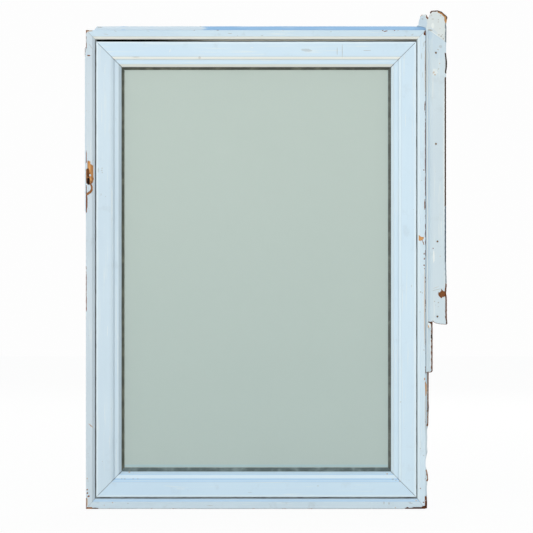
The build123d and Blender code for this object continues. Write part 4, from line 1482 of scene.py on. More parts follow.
@dataclass
class Sash:
    """The mitred sash: top and bottom rail and two stiles."""

    setback: float = 2.0
    thickness: float = 44.0
    flat: float = 30.0
    ovolo_width: float = 6.0
    ovolo_depth: float = 4.5
    band: float = 9.0
    band_fall: float = 0.8
    lip: float = 5.0
    lip_fall: float = 5.7
    lip_edge: float = 2.8
    rebate: float = 12.0
    rebate_depth: float = 16.0

    def profile(self) -> Profile:
        """Cross section of a sash member."""
        sunk = self.setback + self.ovolo_depth
        face = self.flat + self.ovolo_width + self.band + self.lip
        lip_foot = sunk + self.band_fall + self.lip_fall
        back = self.setback + self.thickness
        ovolo = []
        for turn, wear in ((22.5, 0.3), (45.0, 0.0), (67.5, 0.0)):
            angle = math.radians(turn)
            out, deep = self.ovolo_width * math.sin(angle), self.ovolo_depth * math.cos(angle)
            ovolo.append(Corner(self.flat + out, sunk - deep, 0.0, wear))
        return Profile((
            Corner(0, self.setback, 1.5, 1.0),
            Corner(self.flat, self.setback, 0.0, 0.3),
            *ovolo,
            Corner(self.flat + self.ovolo_width, sunk),
            Corner(face - self.lip, sunk + self.band_fall, 0.7, 0.3),
            Corner(face, lip_foot, 0.6, 0.5),
            Corner(face, lip_foot + self.lip_edge),
            Corner(face - self.rebate, self.rebate_depth),
            Corner(face - self.rebate, back),
            Corner(0, back, 1.2),
        ), fine=1.8)

    def cold_stripes(self) -> tuple[Stripe, ...]:
        """Painted sky light in bluish lines at both edges of the bottom rail's ovolo and where its lip starts,
        and a painted highlight on its band, besides the stripes of every member; its lip keeps the plain paint.
        """
        corner = self.flat + self.ovolo_width
        return (
            Stripe(self.flat + 0.2, self.flat + 2.0, "cold", 0.9),
            Stripe(corner - 1.8, corner + 0.3, "cold", 0.8),
            Stripe(corner + 1.0, corner + self.band - 1.0, "pale", 0.4),
            Stripe(corner + self.band - 0.7, corner + self.band + 0.5, "cold", 0.8),
        ) + self.stripes(PaintedLight.COLD, 0.25, 0.0)

    def stripes(self, tint: PaintedLight, ovolo: float, lip: float) -> tuple[Stripe, ...]:
        """Painted light on the ovolo and the lip in the tint given, a painted highlight along the outer arris,
        painted shade with dirt on the outer side down in the gap, and darker lines at the ovolo's edges and where
        the lip starts.
        """
        corner = self.flat + self.ovolo_width
        return (
            Stripe(self.flat + 0.8, corner - 0.5, tint.value, ovolo),
            Stripe(corner + self.band, corner + self.band + self.lip + 1, tint.value, lip),
            Stripe(-1.0, 0.9, "grime_and_shade", 0.8, self.setback + self.thickness, self.setback + 2.0),
            Stripe(0.7, 3.2, "pale", 0.75, self.setback + 1.0),
            Stripe(self.flat - 0.2, self.flat + 0.9, "grime_and_shade", 0.34 if tint is PaintedLight.CREAM else 0.14),
            Stripe(corner - 0.6, corner + 0.6, "grime_and_shade", 0.2),
            Stripe(corner + self.band - 0.6, corner + self.band + 0.6, "grime_and_shade", 0.28),
        )

    def build(self) -> None:
        """Makes and dresses the four members."""
        profile = self.profile()
        rail_marks = (
            *MarkKind.SCUFF.at(
                (306.5, 50, 5.5, 1.5, 4, 1.3, 0.55), (337.2, 51, 0.3, 4.2, 0, 0.4, 0.9),
                (342.3, 50.7, 0.3, 7.2, 0, 0.4, 0.9), (367, 50.4, 4, 0.3, 0, 0.7, 0.9),
                (199.5, 57.5, 1.6, 1.2, 0, 1.2, 0.6), (135.8, 57, 3.6, 0.5, 0, 0.9, 0.6),
            ),
            *MarkKind.FRESH_WOOD.at((252, 47.5, 1.4, 0.4, 0, 0.8, 0.4)),
            *MarkKind.PALE.at((170, 50.5, 0.4, 2, 12, 0.6, 0.7)),
        )
        left_marks = (
            *MarkKind.SCUFF.at(
                (98.3, 170.3, 0.8, 2.6, 0, 1.3, 0.5), (102, 168.2, 0.7, 0.5, 0, 0.9, 0.8),
                (101.8, 170.4, 0.8, 0.5, 0, 0.9, 0.8), (102.2, 172.4, 0.7, 0.5, 0, 0.9, 0.8),
                (101, 194.5, 0.5, 1.2, 8, 0.9, 0.5), (105.4, 196.6, 0.5, 0.5, 0, 0.9, 0.5),
            ),
            *MarkKind.PALE.at((107.5, 331, 0.3, 6, 3, 0.5, 0.5)),
        )
        right_marks = (
            *MarkKind.PALE.at((405.5, 120, 0.3, 7, -2, 0.5, 0.5)),
            *MarkKind.SCUFF.at((411.5, 286, 0.4, 1.4, 0, 0.9, 0.5), (400.8, 402, 0.5, 0.5)),
        )
        foot_marks = (
            *MarkKind.PALE.at((180, 489, 5, 0.3, 1, 0.5, 0.6)),
            *MarkKind.SCUFF.at(
                (318, 486, 0.5, 0.5), (250, 492.5, 2.5, 0.3, 0, 0.8, 0.5), (121.6, 479, 0.7, 0.4, 0, 0.9, 1),
                (124.6, 479.1, 0.8, 0.4, 0, 0.9, 1), (133, 479, 0.6, 0.4, 0, 0.9, 0.9),
                (137.6, 479, 0.6, 0.4, 0, 0.9, 0.9), (393, 479.4, 1, 0.5, 0, 0.9, 0.9),
                (396, 480.4, 0.6, 0.5, 0, 0.9, 0.9),
            ),
            *MarkKind.STAIN.at((387.4, 474.2, 0.9, 0.5), (129, 472.6, 0.9, 0.5), (399.9, 481.4, 0.6, 0.5)),
        )
        # Each member's paint tone differs, the left stile darker and the right stile lighter: partly the paint's
        # own, partly painted light falling from the upper right. The stripes paint warm light on the top rail,
        # sky light on the bottom rail, shade on the left stile and highlights on the right stile.
        plan = (
            ("top_rail", Side.TOP, "sash_top_rail", srgb(208, 227, 240), srgb(199, 220, 236), rail_marks,
             self.stripes(PaintedLight.CREAM, 0.8, 0.8)),
            ("bottom_rail", Side.BOTTOM, "sash_bottom_rail", srgb(204, 225, 240), srgb(196, 218, 236), foot_marks,
             self.cold_stripes()),
            ("left_stile", Side.LEFT, "sash_stile_left", srgb(206, 222, 233), srgb(197, 214, 227), left_marks,
             self.stripes(PaintedLight.SHADE, 0.08, 0.12)),
            ("right_stile", Side.RIGHT, "sash_stile_right", srgb(209, 228, 241), srgb(200, 221, 236), right_marks,
             self.stripes(PaintedLight.PALE, 0.3, 0.4)),
        )
        for number, (name, side, node, tone, shade, marks, stripes) in enumerate(plan):
            member = Member(
                name, profile, SASH_RING, SASH_FIT, side, face=self.setback, seed=20 + number, uneven=0.3,
                stripes=stripes, worn=lambda p: np.full(len(p), 0.14),
            )
            piece = member.build()
            grain = Grain.LEVEL if side.level else Grain.UPRIGHT
            OilPaint(tone, shade, grain, 0.35, 0.3).dress(piece, marks)
            put(piece, "painted_wood", node)


@dataclass
class SealedUnit:
    """Two sheets of glass, the spacer between them and the gasket under the sash lip."""

    gasket_start: float = 40.0
    lip: float = 50.0
    proud: float = 5.5
    seat: float = 16.0
    glass: float = 18.0
    edge: float = 0.8

    def build(self) -> None:
        """Dresses the sheets and spacer and makes the gasket."""
        GlassSheet().dress(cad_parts["glass_outer"])
        GlassSheet(cover=0.25).dress(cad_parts["glass_inner"])
        PlainFinish("spacer", srgb(176, 182, 184), srgb(120, 124, 124), 0.35, 0.9, 0.3).dress(
            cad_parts["glass_spacer"])
        profile = Profile((
            Corner(self.gasket_start, self.seat),
            Corner(self.lip, self.seat),
            Corner(self.lip + self.proud, self.glass - self.edge, 0.4),
            Corner(self.lip + self.proud, self.glass),
            Corner(self.gasket_start, self.glass),
        ), fine=1.4)
        # Tones by side: darker at the head in the rail's shade, lighter and bluer at the foot under the sky:
        # painted shade and painted sky light on one rubber.
        tones = {
            Side.TOP: (srgb(54, 58, 50), srgb(98, 100, 86)),
            Side.BOTTOM: (srgb(78, 92, 92), srgb(126, 142, 142)),
            Side.LEFT: (srgb(66, 72, 62), srgb(104, 106, 92)),
            Side.RIGHT: (srgb(74, 78, 72), srgb(112, 118, 110)),
        }
        for side in Side:
            piece = Member(
                f"gasket_{side.value}", profile, SASH_RING, GASKET_FIT, side, spacing=6.0, uneven=0.25, mitre=0.1,
                grime_at_mitre=0.0, seed=40,
            ).build()
            tone, soil = tones[side]
            PlainFinish("rubber", tone, soil, 0.62, 0.0, 0.8, 220.0, 0.2).dress(piece)
            put(piece, "glazing_rubber")
        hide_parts("glass_gasket")


@dataclass
class RoomSide:
    """Beads, stops and liners, which keep their CAD forms with softened arrises."""

    easing: float = 0.7

    def build(self) -> None:
        """Softens the arrises and paints the timber."""
        names = [f"{kind}_{side.value}" for kind in ("glazing_bead", "stop") for side in Side]
        names += ["liner_head", "liner_sill", "liner_left", "liner_right"]
        for name in names:
            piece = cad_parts[name]
            soften(piece, self.easing)
            level = name.rsplit("_", 1)[1] in ("top", "bottom", "head", "sill")
            grain = Grain.LEVEL if level else Grain.UPRIGHT
            OilPaint(srgb(216, 228, 235), srgb(206, 219, 227), grain, 0.0, 0.45, 0.12).dress(piece)


def soften(piece: bpy.types.Object, width: float, segments: int = 2) -> None:
    """Rounds a CAD node's arrises with modifiers.

    Args:
        piece: the node's object.
        width: the rounding in millimetres.
        segments: faces across each rounding.
    """
    weld = piece.modifiers.new("weld", "WELD")
    weld.merge_threshold = 1e-5
    bevel = piece.modifiers.new("arris", "BEVEL")
    bevel.width = width * MM
    bevel.segments = segments
    bevel.limit_method = "ANGLE"
    bevel.angle_limit = math.radians(35)
    bevel.harden_normals = False


def pixels(*places: Point) -> tuple[Point, ...]:
    """Places in millimetres of pixels of the photograph."""
    return tuple((across(column), up(row)) for column, row in places)


@dataclass
class BackingStrips:
    """Thin strips on the frame's outer sides: bright blue over the head, ragged on the right."""

    start: float = 12.0
    depth: float = 20.0
    head_top: float = 964.6
    strip_edge: float = 346.0
    left_width: float = 3.0
    right_seam: tuple[Point, Point] = ((HALF_WIDTH, 0.0), (HALF_WIDTH, FRAME_HEIGHT))
    left_seam: tuple[Point, Point] = ((-HALF_WIDTH, 0.0), (-HALF_WIDTH, FRAME_HEIGHT))
    head_seam: tuple[Point, Point] = ((-HALF_WIDTH, FRAME_HEIGHT), (STRIP_SIDE, FRAME_HEIGHT))

    def build(self) -> None:
        """Makes and dresses the three strips."""
        self.build_head()
        self.build_left()
        self.build_right()

    def build_head(self) -> None:
        """The blue strip over the head, which slopes down at its right end."""
        outline = (
            (346.2, 952.6), (346.0, 955.6), (343.6, 959.2), (340.6, 962.0), (334.0, 963.8),
            (310.0, self.head_top), (-317.5, self.head_top), (-324.0, FRAME_HEIGHT),
            (HALF_WIDTH, FRAME_HEIGHT), (HALF_WIDTH, 952.6),
        )
        head = Slab(
            "head_strip", outline, self.start, self.depth, 3.5, jitter=0.4, seed=50, seams=(self.head_seam,),
            worn=lambda p: np.where(p[:, 0] < across(205), 0.25, 0.2),
        ).build()
        blue = OilPaint(srgb(150, 190, 226), srgb(166, 202, 233), Grain.LEVEL, 0.5, 0.25, 0.15, 0.6)
        pale = MarkKind.PALE.at(*((column, 27.6, 19, 2.6, 0, 0.3, 0.66) for column in (108, 138, 166, 188)))
        dark = (
            *MarkKind.SCUFF.at((99.5, 26.7, 2.8, 0.4, 0, 0.9)),
            *MarkKind.OLD_WOOD.at((93.8, 28.2, 1.1, 0.6, -20)),
        )
        blue.dress(head, pale + dark)
        put(head, "weathered_board", "strip_head")

    def build_left(self) -> None:
        """The narrow strip down the left side."""
        outer = -HALF_WIDTH - self.left_width
        inner = outer + 2.0
        outline = ((-HALF_WIDTH, 60.0), (inner, 63.0), (inner, up(214)), (outer, up(210)), (outer, 921.0),
                   (-HALF_WIDTH, 924.0))
        left = Slab(
            "left_strip", outline, self.start, self.depth, 2.0, jitter=0.5, rounding=0.6, seed=51,
            seams=(self.left_seam,), worn=lambda p: beside(p, 0.2, (
                (150, 186, 0.2), (36, 60, 0.5), (260, 320, 0.6),
            )),
        ).build()
        OilPaint(srgb(212, 224, 232), srgb(224, 232, 236), Grain.UPRIGHT, 0.5).dress(left)
        put(left, "weathered_board", "strip_left")

    def build_right(self) -> None:
        """The ragged strip down the right side, raw where it has split and broken."""
        wave = (
            (345.2, 167.0), (342.9, 158.0), (343.4, 142.0), (342.9, 122.0), (344.0, 113.0), (341.2, 103.0),
            (339.8, 93.0), (340.2, 84.0), (342.7, 75.0), (344.5, 67.0), (345.2, 58.0), (343.3, 52.0),
            (342.5, 41.0), (342.6, 23.0), (343.2, 12.0), (342.6, 0.0), (HALF_WIDTH, 0.0),
        )
        edge = self.strip_edge
        outline = ((HALF_WIDTH, 952.0), (edge, 952.0), (edge, up(374)), (edge, up(402)), (edge + 0.4, up(408)),
                   (edge - 0.4, up(415)), (edge - 0.6, up(424)), *wave)
        bands = bands_beside(424, 432, (
            (373, 401, 2.9, 1, 0.1, 0.5, 0, 0.2), (401, 414, 3.2, 1, 0, 0.6), (407.4, 410.4, 2.8, 1, 0, 1),
            (411.6, 413, 2.6, 1, 0, 0.9), (414, 426.5, 2.9, 1, 0.1, 0.5, 0, 0.2), (470, 482, 2.2, 1, 0.15),
            (497, 509.5, 3.6, 1, 0, 0.5),
        ))
        right = Slab(
            "right_strip", outline, self.start, self.depth, 2.0, jitter=0.4, rounding=0.6, seed=52, bands=bands,
            seams=(self.right_seam,), worn=lambda p: beside(p, 0.2, ((372, 430, 0.4), (496, 512, 0.6))),
        ).build()
        marks = (
            *MarkKind.FRESH_WOOD.at((426.2, 389, 1, 7.4, 0, 0.8)),
            # The long pale mark lifts the strip's face near its foot: painted light.
            *MarkKind.PALE.at((427.4, 32, 0.9, 4.6), (427, 460, 2.4, 34, 0, 0.3, 0.5)),
        )
        OilPaint(srgb(198, 214, 225), srgb(184, 202, 215), Grain.UPRIGHT, 0.6, 0.4).dress(right, marks)
        put(right, "weathered_board", "strip_right")


@dataclass
class SideBoarding:
    """Moulded cover strip, torn side board and broken corner plate beside the right jamb."""

    start: float = 6.0
    cover_back: float = 12.0
    thickness: float = 9.0
    cover_edge: float = 339.7
    cover_foot: float = 272.0
    cover_top: float = 970.0
    cover_rounding: float = 5.0
    joint_foot: float = 376.0
    joint_top: float = 960.0
    cove_start: float = 344.4
    cove_width: float = 4.4
    cove_depth: float = 1.6
    board_edge: float = 380.7
    bevel_width: float = 3.0
    bevel_depth: float = 1.6
    mitre_top: float = 959.0
    mitre_foot: float = 930.5
    nail_radius: float = 2.0
    nails: tuple[Point, ...] = ((360, 911), (360, 729), (363, 534), (363, 384))

    def mitre(self, x: float) -> float:
        """Height of the mitre between plate and boards at a place across."""
        slope = (self.mitre_top - self.mitre_foot) / (BOARD_EDGE - COVER_SIDE)
        return self.mitre_top - slope * (x - COVER_SIDE)

    def seams(self) -> tuple[tuple[Point, Point], ...]:
        """Joints between the three pieces, which don't show as edges."""
        low, high = self.cover_edge, self.board_edge + 2.0
        return (
            ((BOARD_SIDE, self.joint_foot), (BOARD_SIDE, self.joint_top)),
            ((low, self.mitre(low)), (high, self.mitre(high))),
            ((low, self.cover_foot), (low, self.cover_top)),
        )

    def cove(self, flat: np.ndarray) -> np.ndarray:
        """Depth of the cover strip's hollow."""
        share = (flat[:, 0] - self.cove_start) / self.cove_width * 2 - 1
        return self.cove_depth * np.sqrt(np.clip(1 - share**2, 0, 1))

    def bevel(self, flat: np.ndarray) -> np.ndarray:
        """Depth of the bevel along the outer edge."""
        share = (flat[:, 0] - self.board_edge + self.bevel_width) / self.bevel_width
        return np.clip(share, 0, 1.3) * self.bevel_depth

    def build(self) -> None:
        """Makes and dresses the three pieces with their nails and flakes."""
        self.build_cover()
        self.build_board()
        self.build_plate()
        self.build_curl()
        self.build_nails()

    def build_cover(self) -> None:
        """The moulded cover strip, raw along its outer edge below the tear."""
        foot, radius = self.cover_foot, self.cover_rounding
        arc = [
            (BOARD_SIDE - radius + radius * math.cos(a), foot + radius + radius * math.sin(a))
            for a in np.linspace(-math.pi / 2, 0, 6)
        ]
        edge = self.cover_edge
        outline = ((edge, foot), *arc, (BOARD_SIDE, self.mitre(BOARD_SIDE)), (edge, self.mitre(edge)))
        bands = (
            Band((431, 321.5), (436, 374), 3, 1, 0, 0.45, 0, 0.2), Band((431, 334), (436, 338.6), 3.6, 1, 0, 1),
            Band((424, 371.2), (436, 376), 1.4, 1, 0, 0.6),
        )
        wedge = ((428.4, 321.6), (430.6, 321.8), (433.6, 322.8), (433.6, 324.6), (431, 324.4), (428.8, 323.4))
        bite = ((431.4, 346.5), (433.5, 346), (433.5, 352), (431.6, 351.5))
        piece = Slab(
            "cover_moulding", outline, self.start, self.cover_back - self.start, 1.1, 1.2, 0.35, 0.8, 0.06,
            shape=self.cove, bands=bands, seams=self.seams(), seed=60,
            worn=lambda p: beside(p, 0.16, ((318, 374, 0.3),)),
            damage=(Damage(wedge, 2.4, 2.4, 0.4, 0.3, 0.0, 0.5), Damage(bite, 1.6, 2.0, 0.5, 0.3, 0.3)),
        ).build()
        # COLD marks paint shade beside the jamb, in the cove and near the top; PALE marks paint highlights on the
        # land beside the jamb and along the raw edge below the tear.
        OilPaint(srgb(204, 218, 226), srgb(193, 208, 218), Grain.UPRIGHT, 0.5, 0.4, 0.3).dress(
            piece, (
                *MarkKind.COLD.at(
                    (429.2, 200, 0.7, 170, 0, 0.4, 0.8), (426.1, 200, 0.6, 172, 0, 0.3, 0.9),
                    (430, 34, 3, 6, 0, 0.4, 0.6),
                ),
                *MarkKind.PALE.at((427.6, 200, 0.5, 172, 0, 0.3, 0.6), (431, 348, 0.6, 20, 0, 0.4, 0.8)),
            ))
        put(piece, "weathered_board", "cover_strip")

    def build_board(self) -> None:
        """The flat side board with its torn foot, raw outer edge and chip."""
        tear = (
            (BOARD_SIDE, 374.0), (355.4, 372.6), (358.5, 370.9), (362.0, 369.6), (366.3, 368.7), (372.0, 368.1),
            (380.0, 367.9), (382.4, 368.4), (383.4, 370.4), (382.6, 377.0), (382.0, 384.0),
        )
        side = pixels(
            (447.3, 318), (447.3, 298), (446.6, 293), (447.2, 286), (446.5, 262), (446.5, 77), (446.8, 71),
            (447.5, 66), (447.5, 61), (446.9, 56), (446.5, 52),
        )
        chip = (
            (442, 288.8), (443.2, 290.6), (445.6, 291.6), (447.9, 291), (447.9, 296.4), (444.4, 296.7),
            (441.6, 298), (439.6, 297), (438.4, 294.2), (438.9, 292.4), (441, 291.4),
        )
        upper = ((432.6, 69.6), (436, 69.4), (438.4, 71.4), (437.4, 75.4), (434, 76.6), (432.6, 74))
        # The bands with shade paint the blue-grey side of the outer edge in shade.
        bands = (
            *bands_beside(440, 450, (
                (52.5, 73, 3, 1, 0, 1, 0, 0.1), (77, 206, 3, 1, 0, 0.9, 0, 0.1), (206, 262, 2.8, 0, 0, 0, 1, 0.1),
                (262, 284, 2.6, 0, 0, 0, 0.7, 0.1), (283.5, 321, 3.3, 1, 0, 0.4, 0, 0.1),
            )),
            Band((445.7, 56), (450, 71.5), 5, 1, 0, 1), Band((446.3, 319), (450, 326), 4, 1, 0, 0.7),
            Band((432, 318), (446.8, 326), 0.8, 1, 0, 0.5),
        )
        piece = Slab(
            "torn_board", (*tear, *side, (self.board_edge, self.mitre(self.board_edge)),
                           (BOARD_SIDE, self.mitre(BOARD_SIDE))),
            self.start, self.thickness, 1.9, 1.4, 0.4, 0.8, 0.06,
            holes=tuple((x, z, self.nail_radius) for x, z in self.nails),
            shape=self.bevel, bands=bands, seams=self.seams(), insets=(0.5, 1.1, 1.9, 2.7, 3.5, 4.3), seed=61,
            worn=lambda p: np.full(len(p), 0.12),
            damage=(Damage(chip, 2.0, 2.3, 0.5, 0.4, 0.1, 0.15), Damage(upper, 0.5, 0.5, 0.6, 0.1, bare=0.0)),
        ).build()
        marks = (
            # The long pale mark by the outer edge is a painted highlight.
            *MarkKind.PALE.at(
                (435.1, 71.6, 3, 3.2, 0, 1.2, 0.6), (434, 256.4, 1, 6.4, 0, 0.9, 0.8),
                (444.2, 160, 0.6, 80, 0, 0.3, 0.6),
            ),
            *MarkKind.STAIN.at(
                (433.6, 72.4, 1.8, 0.9, -40, 1.2, 0.7), (435.2, 74.4, 1, 0.8, 0, 1, 0.8), (440, 63.2, 0.4, 0.5),
                (431.4, 90, 0.4, 1.4, 0, 0.9, 0.4), (431.8, 80.4, 0.4, 1.6, 0, 0.9, 0.5),
                (432.6, 104.4, 0.5, 2.2, 0, 0.9, 0.5), (436, 287.6, 3.4, 0.25, -20, 0.6, 0.5),
                (440.4, 256.2, 0.4, 0.5),
            ),
            *MarkKind.SCUFF.at(
                (438.8, 68.6, 1, 0.6, -50, 1, 0.6), (436.5, 289.8, 5.6, 0.3, -13, 0.4, 0.8),
                (440.8, 46.3, 1.8, 1.4, 0, 0.9, 0.5), (438.3, 49.4, 0.9, 0.5, 30), (434.8, 301.4, 0.6, 0.6),
                (438.6, 302.6, 0.7, 0.7), (438.4, 306.6, 0.5, 0.6, 0, 0.7, 0.6),
                (435.8, 305.2, 0.4, 0.4, 0, 0.7, 0.6),
            ),
            *MarkKind.OLD_WOOD.at((433.1, 248.4, 0.7, 0.7), (437.7, 316.5, 0.8, 0.9)),
            *MarkKind.COLD.at((440, 44, 8, 16, 0, 0.4, 0.35), (438, 36.6, 9.4, 0.4, 35.6, 0.3, 0.9)),
        )
        OilPaint(srgb(206, 219, 226), srgb(198, 212, 221), Grain.UPRIGHT, 0.6, 0.35, 0.45).dress(piece, marks)
        put(piece, "weathered_board", "side_board")

    def build_plate(self) -> None:
        """The broken corner plate, bare along its slanting cut."""
        top = pixels(
            (446.8, 53), (446.9, 27), (446.5, 24.5), (446.9, 22), (447.4, 19), (447.9, 17), (447.2, 15.6),
            (444.6, 13.4), (442.1, 11.1), (438, 9.9), (434, 10.1), (431.5, 10.4), (430.5, 11.4), (430, 13.5),
            (429.3, 16.5), (428.2, 17), (427.6, 16.2), (426.6, 14.4), (426, 13.9), (424.5, 14.2), (421.8, 14.4),
            (420.8, 15.4), (420.3, 17.5), (419.3, 20), (418.75, 24), (417, 25.5), (417.5, 26), (422.5, 26.5),
            (425, 27.3), (427, 28.8), (428.5, 31),
        )
        outline = (*top[1:], (345.0, self.mitre(345.0)), (self.board_edge + 0.2, self.mitre(self.board_edge)))
        cut = (
            (437.6, 11.6), (438, 9.4), (443, 10.2), (448.4, 14.8), (448.4, 22.6), (445.4, 22.8), (444.8, 19.4),
            (444.6, 17), (441.4, 14.2),
        )
        bands = (
            Band((430.2, 9), (438, 13), 2.4, 1, 0, 0.6), Band((437.6, 9), (450, 18.5), 1.8, 1, 0, 0.9),
            Band((426.2, 13.6), (428.6, 19), 3.4, 1, 0, 0.2, 0, 0.1),
            # These two bands paint shade on the bevel of the outer edge, which faces away from the light.
            Band((445, 22.8), (450, 32), 2.6, 0, 0, 0, 0.8), Band((445, 32), (450, 56), 2.8, 0, 0, 0, 0.8),
            Band((419.8, 13), (423, 16.4), 0.9, 1, 0.5),
        )
        piece = Slab(
            "corner_piece", outline, self.start, self.thickness, 1.9, 1.4, 0.25, 0.8, 0.3,
            shape=self.bevel, bands=bands, seams=self.seams()[1:], insets=(0.5, 1.1, 1.9, 2.7, 3.5), seed=62,
            worn=lambda p: np.full(len(p), 0.16), damage=(Damage(cut, 3.4, 3.4, 2.2, 0.3, 0.75),),
        ).build()
        marks = (
            *MarkKind.SCUFF.at(
                (430.4, 29.8, 2.4, 0.9, 4), (441.3, 35.9, 1, 0.8), (439.2, 34.6, 0.8, 0.6),
                (442.6, 34.4, 0.6, 0.5), (443.6, 38.4, 0.7, 0.8), (431.4, 14.9, 0.8, 0.9, 0, 0.7, 0.5),
                (440.2, 28.2, 0.6, 0.8, 0, 0.7, 0.4), (438.4, 21.6, 0.5, 0.9, 0, 0.9, 0.6),
                (433, 18.8, 1.4, 0.8, 0, 0.9, 0.5), (422.6, 18.6, 1, 0.9, 0, 0.9, 0.6),
                (440.6, 15.4, 0.7, 1, 0, 0.9, 0.5), (438.6, 19.2, 0.8, 0.5, 30, 0.9, 0.7),
            ),
            # The first COLD mark paints shade on the plate's lower left.
            *MarkKind.COLD.at((422, 23, 5.6, 8, 0, 0.5, 0.9), (433, 30.4, 6, 1.8, 36, 0.5, 0.4)),
            *MarkKind.PALE.at((433, 25.4, 1.6, 2.8, 0, 0.8, 0.7), (434.6, 33, 5, 0.3, 36, 0.4, 0.9)),
        )
        OilPaint(srgb(216, 222, 221), srgb(205, 214, 219), Grain.UPRIGHT, 0.5, 0.4, 0.7).dress(piece, marks)
        put(piece, "weathered_board", "corner_plate")

    def build_curl(self) -> None:
        """Curl of paint that hangs over the cover strip at the tear."""
        outline = pixels(
            (428.3, 322.6), (430, 322.8), (431.3, 324.4), (431.4, 326.6), (430.6, 328.4), (429.2, 328.6),
            (427.8, 326.9), (427.1, 324.4),
        )
        middle = np.mean(outline, axis=0)
        piece = Slab(
            "paint_curl", outline, self.start - 3.0, 2.8, 1.2, 1.0, 0.2, 0.7, 0.2,
            shape=lambda flat: np.sum((flat - middle) ** 2, axis=1) * 0.05, seed=66,
        ).build()
        OilPaint(srgb(228, 234, 234), srgb(214, 224, 228), Grain.UPRIGHT, 0.0, 0.2).dress(
            piece, MarkKind.FRESH_WOOD.at((428.6, 326.4, 0.45, 1.9, -20, 0.5, 0.8)))
        put(piece, "weathered_board")

    def build_nails(self) -> None:
        """Rusty nail heads sunk in the board's holes."""
        rust = PlainFinish("rust", srgb(150, 122, 90), srgb(88, 66, 48), 0.8, 0.2, 0.9, 900.0, 0.25)
        for number, (x, z) in enumerate(self.nails):
            head = turned(
                f"nail_{number + 1}",
                ((0, -0.4), (1.2, -0.3), (1.8, 0.1), (1.95, 0.7), (1.5, 1.2), (1.3, 6.5), (0, 7)),
                Vector((x, FRONT + self.start + 0.7, z)), Vector((0, 1, 0)), 20,
            )
            rust.dress(head)
            put(head, "hardware")


def turned(name: str, outline: Sequence[Point], foot: Vector, axis: Vector, steps: int) -> bpy.types.Object:
    """A turned piece.

    Args:
        name: the piece's name.
        outline: (radius, height along the axis) from one end on the axis to the other.
        foot: where height 0 is, in millimetres.
        axis: direction of the axis.
        steps: faces round it.

    Returns:
        The piece as an object.
    """
    turn = axis.to_track_quat("Z", "Y")
    points, faces = [], []
    for radius, height in outline[1:-1]:
        for step in range(steps):
            angle = 2 * math.pi * step / steps
            points.append(foot + turn @ Vector((radius * math.cos(angle), radius * math.sin(angle), height)))
    rings = len(outline) - 2
    for ring in range(rings - 1):
        for step in range(steps):
            low, after = ring * steps, (step + 1) % steps
            faces.append((low + step, low + after, low + steps + after, low + steps + step))
    for height, ring in ((outline[0][1], 0), (outline[-1][1], rings - 1)):
        points.append(foot + turn @ Vector((0, 0, height)))
        centre = len(points) - 1
        faces += [(centre, ring * steps + step, ring * steps + (step + 1) % steps) for step in range(steps)]
    return Cells(np.array([tuple(p) for p in points])).piece(name, faces)


@dataclass
class Hardware:
    """Crank operator and lever lock on the room side."""

    easing: float = 0.8
    screw_inset: float = 8.0

    def build(self) -> None:
        """Softens the castings and enamels them."""
        enamel = PlainFinish("enamel", srgb(214, 212, 202), srgb(158, 150, 134), 0.34, 0.0, 0.35, 500.0, 0.03)
        for name in ("operator_cover", "crank_arm", "crank_knob", "lock_plate", "lock_lever"):
            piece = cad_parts[name]
            soften(piece, self.easing)
            enamel.dress(piece)
        low, high = (np.array(corner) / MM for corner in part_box("lock_plate"))
        middle = (low[0] + high[0]) / 2
        for name, z in (("upper", high[2] - self.screw_inset), ("lower", low[2] + self.screw_inset)):
            screw = turned(
                f"lock_screw_{name}",
                (
                    (0, -1), (2.2, -0.8), (2.9, 0), (2.9, 0.3), (2.4, 0.9), (1.5, 1.2), (1, 1.2), (0.9, 0.3),
                    (0, 0.3),
                ),
                Vector((middle, high[1], z)), Vector((0, 1, 0)), 24,
            )
            enamel.dress(screw)
            put(screw, "hardware")


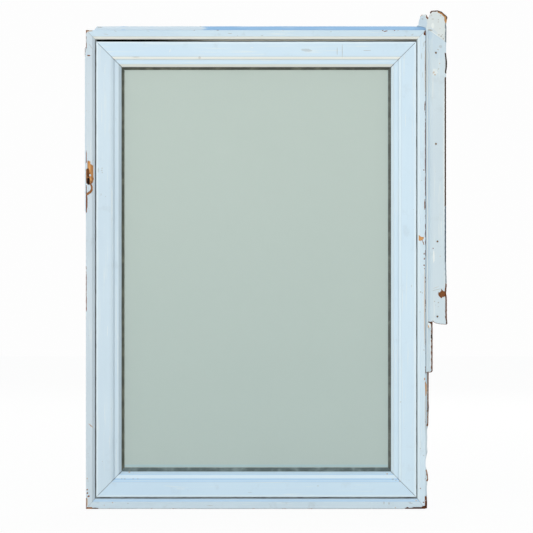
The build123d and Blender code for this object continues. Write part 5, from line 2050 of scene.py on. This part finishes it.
@dataclass
class Studio:
    """Camera, soft lamps, pale floor and white surroundings."""

    lens: float = 160.0
    sensor: float = 36.0
    key: float = 44.0
    fill: float = 26.0
    rear: float = 40.0
    sky: float = 0.76
    white: float = 0.985
    glow: float = 0.93

    def build(self) -> None:
        """Sets up everything around the object."""
        self.build_camera()
        self.build_world()
        self.build_floor()
        self.lamp("key_lamp", (-2.3, -3.4, 1.7), 2.6, self.key, (1.0, 0.99, 0.97))
        self.lamp("low_lamp", (1.8, -3.4, 0.3), 2.0, self.fill, (1.0, 0.96, 0.88))
        self.lamp("rear_lamp", (0.8, 3.4, 2.4), 2.4, self.rear, (1.0, 1.0, 1.0))
        view = bpy.context.scene.view_settings
        view.view_transform = "Standard"

    def build_camera(self) -> None:
        """Camera square to the weather side at the photograph's framing."""
        data = bpy.data.cameras.new("camera")
        data.lens, data.sensor_width = self.lens, self.sensor
        camera = bpy.data.objects.new("camera", data)
        half = PHOTO_SIZE / 2
        distance = PHOTO_SIZE * PIXEL * MM * self.lens / self.sensor
        camera.location = (across(half) * MM, FRONT * MM - distance, up(half) * MM)
        camera.rotation_euler = (math.radians(90), 0, 0)
        bpy.context.scene.collection.objects.link(camera)
        bpy.context.scene.camera = camera

    def seen(self, graph: Graph) -> Term:
        """1 for rays that show the surroundings: from the camera, or by a reflection or through glass."""
        path = graph.node("ShaderNodeLightPath")
        names = ("Is Camera Ray", "Is Glossy Ray", "Is Transmission Ray")
        first, *others = [Term(graph, path.outputs[name]) for name in names]
        for other in others:
            first = first.most(other)
        return first

    def build_world(self) -> None:
        """Cool light from above and warm from below; white where it is seen."""
        world = bpy.data.worlds.new("surroundings")
        world.use_nodes = True
        bpy.context.scene.world = world
        graph = Graph(world.node_tree)
        direction = graph.term("ShaderNodeTexCoord", out="Generated")
        height = graph.term("ShaderNodeSeparateXYZ", None, {0: direction}, out="Z")
        light = graph.mix(height.rise(-0.5, 0.8), (1.0, 0.96, 0.88, 1.0), (0.84, 0.93, 1.0, 1.0))
        lit = graph.node("ShaderNodeBackground", None, {"Color": light, "Strength": self.sky})
        white = graph.node("ShaderNodeBackground", None, {"Color": (1.0, 1.0, 1.0, 1.0), "Strength": self.white})
        seen = self.seen(graph)
        both = graph.node("ShaderNodeMixShader", None, {0: seen, 1: lit.outputs[0], 2: white.outputs[0]})
        graph.node("ShaderNodeOutputWorld", None, {"Surface": both.outputs[0]})

    def build_floor(self) -> None:
        """Pale floor that keeps the object's shadow."""
        mesh = bpy.data.meshes.new("floor")
        reach = 8.0
        corners = [(-reach, -reach, 0), (reach, -reach, 0), (reach, reach, 0), (-reach, reach, 0)]
        mesh.from_pydata(corners, [], [(0, 1, 2, 3)])
        floor = bpy.data.objects.new("floor", mesh)
        bpy.context.scene.collection.objects.link(floor)
        floor.location.z = -0.0005
        graph = coat(floor, "pale")
        lit = graph.node("ShaderNodeBsdfDiffuse", None, {"Color": (0.95, 0.92, 0.87, 1.0)})
        glow = graph.node("ShaderNodeEmission", None, {"Color": (1.0, 1.0, 1.0, 1.0), "Strength": 1.0})
        share = self.seen(graph) * self.glow
        both = graph.node("ShaderNodeMixShader", None, {0: share, 1: lit.outputs[0], 2: glow.outputs[0]})
        graph.node("ShaderNodeOutputMaterial", None, {"Surface": both.outputs[0]})

    def lamp(self, name: str, place: tuple, size: float, power: float, tone: tuple) -> None:
        """Soft area lamp that faces the window's middle.

        Args:
            name: the lamp's name.
            place: where it hangs, in metres.
            size: its side, in metres.
            power: its power in watts.
            tone: its colour.
        """
        data = bpy.data.lights.new(name, "AREA")
        data.shape, data.size, data.energy, data.color = "SQUARE", size, power, tone
        lamp = bpy.data.objects.new(name, data)
        lamp.location = place
        aim = Vector((0, 0, 0.5)) - lamp.location
        lamp.rotation_euler = aim.to_track_quat("-Z", "Y").to_euler()
        bpy.context.scene.collection.objects.link(lamp)


def main() -> None:
    """Builds the studio and the window's sub-assemblies in order."""
    logging.basicConfig(level=logging.INFO, format="%(name)s %(message)s")
    for part in (Studio, OuterFrame, LeafSeal, Sash, SealedUnit, RoomSide, BackingStrips, SideBoarding, Hardware):
        part().build()
        LOG.info("%s is built", part.__name__)


if __name__ == "__main__":
    main()
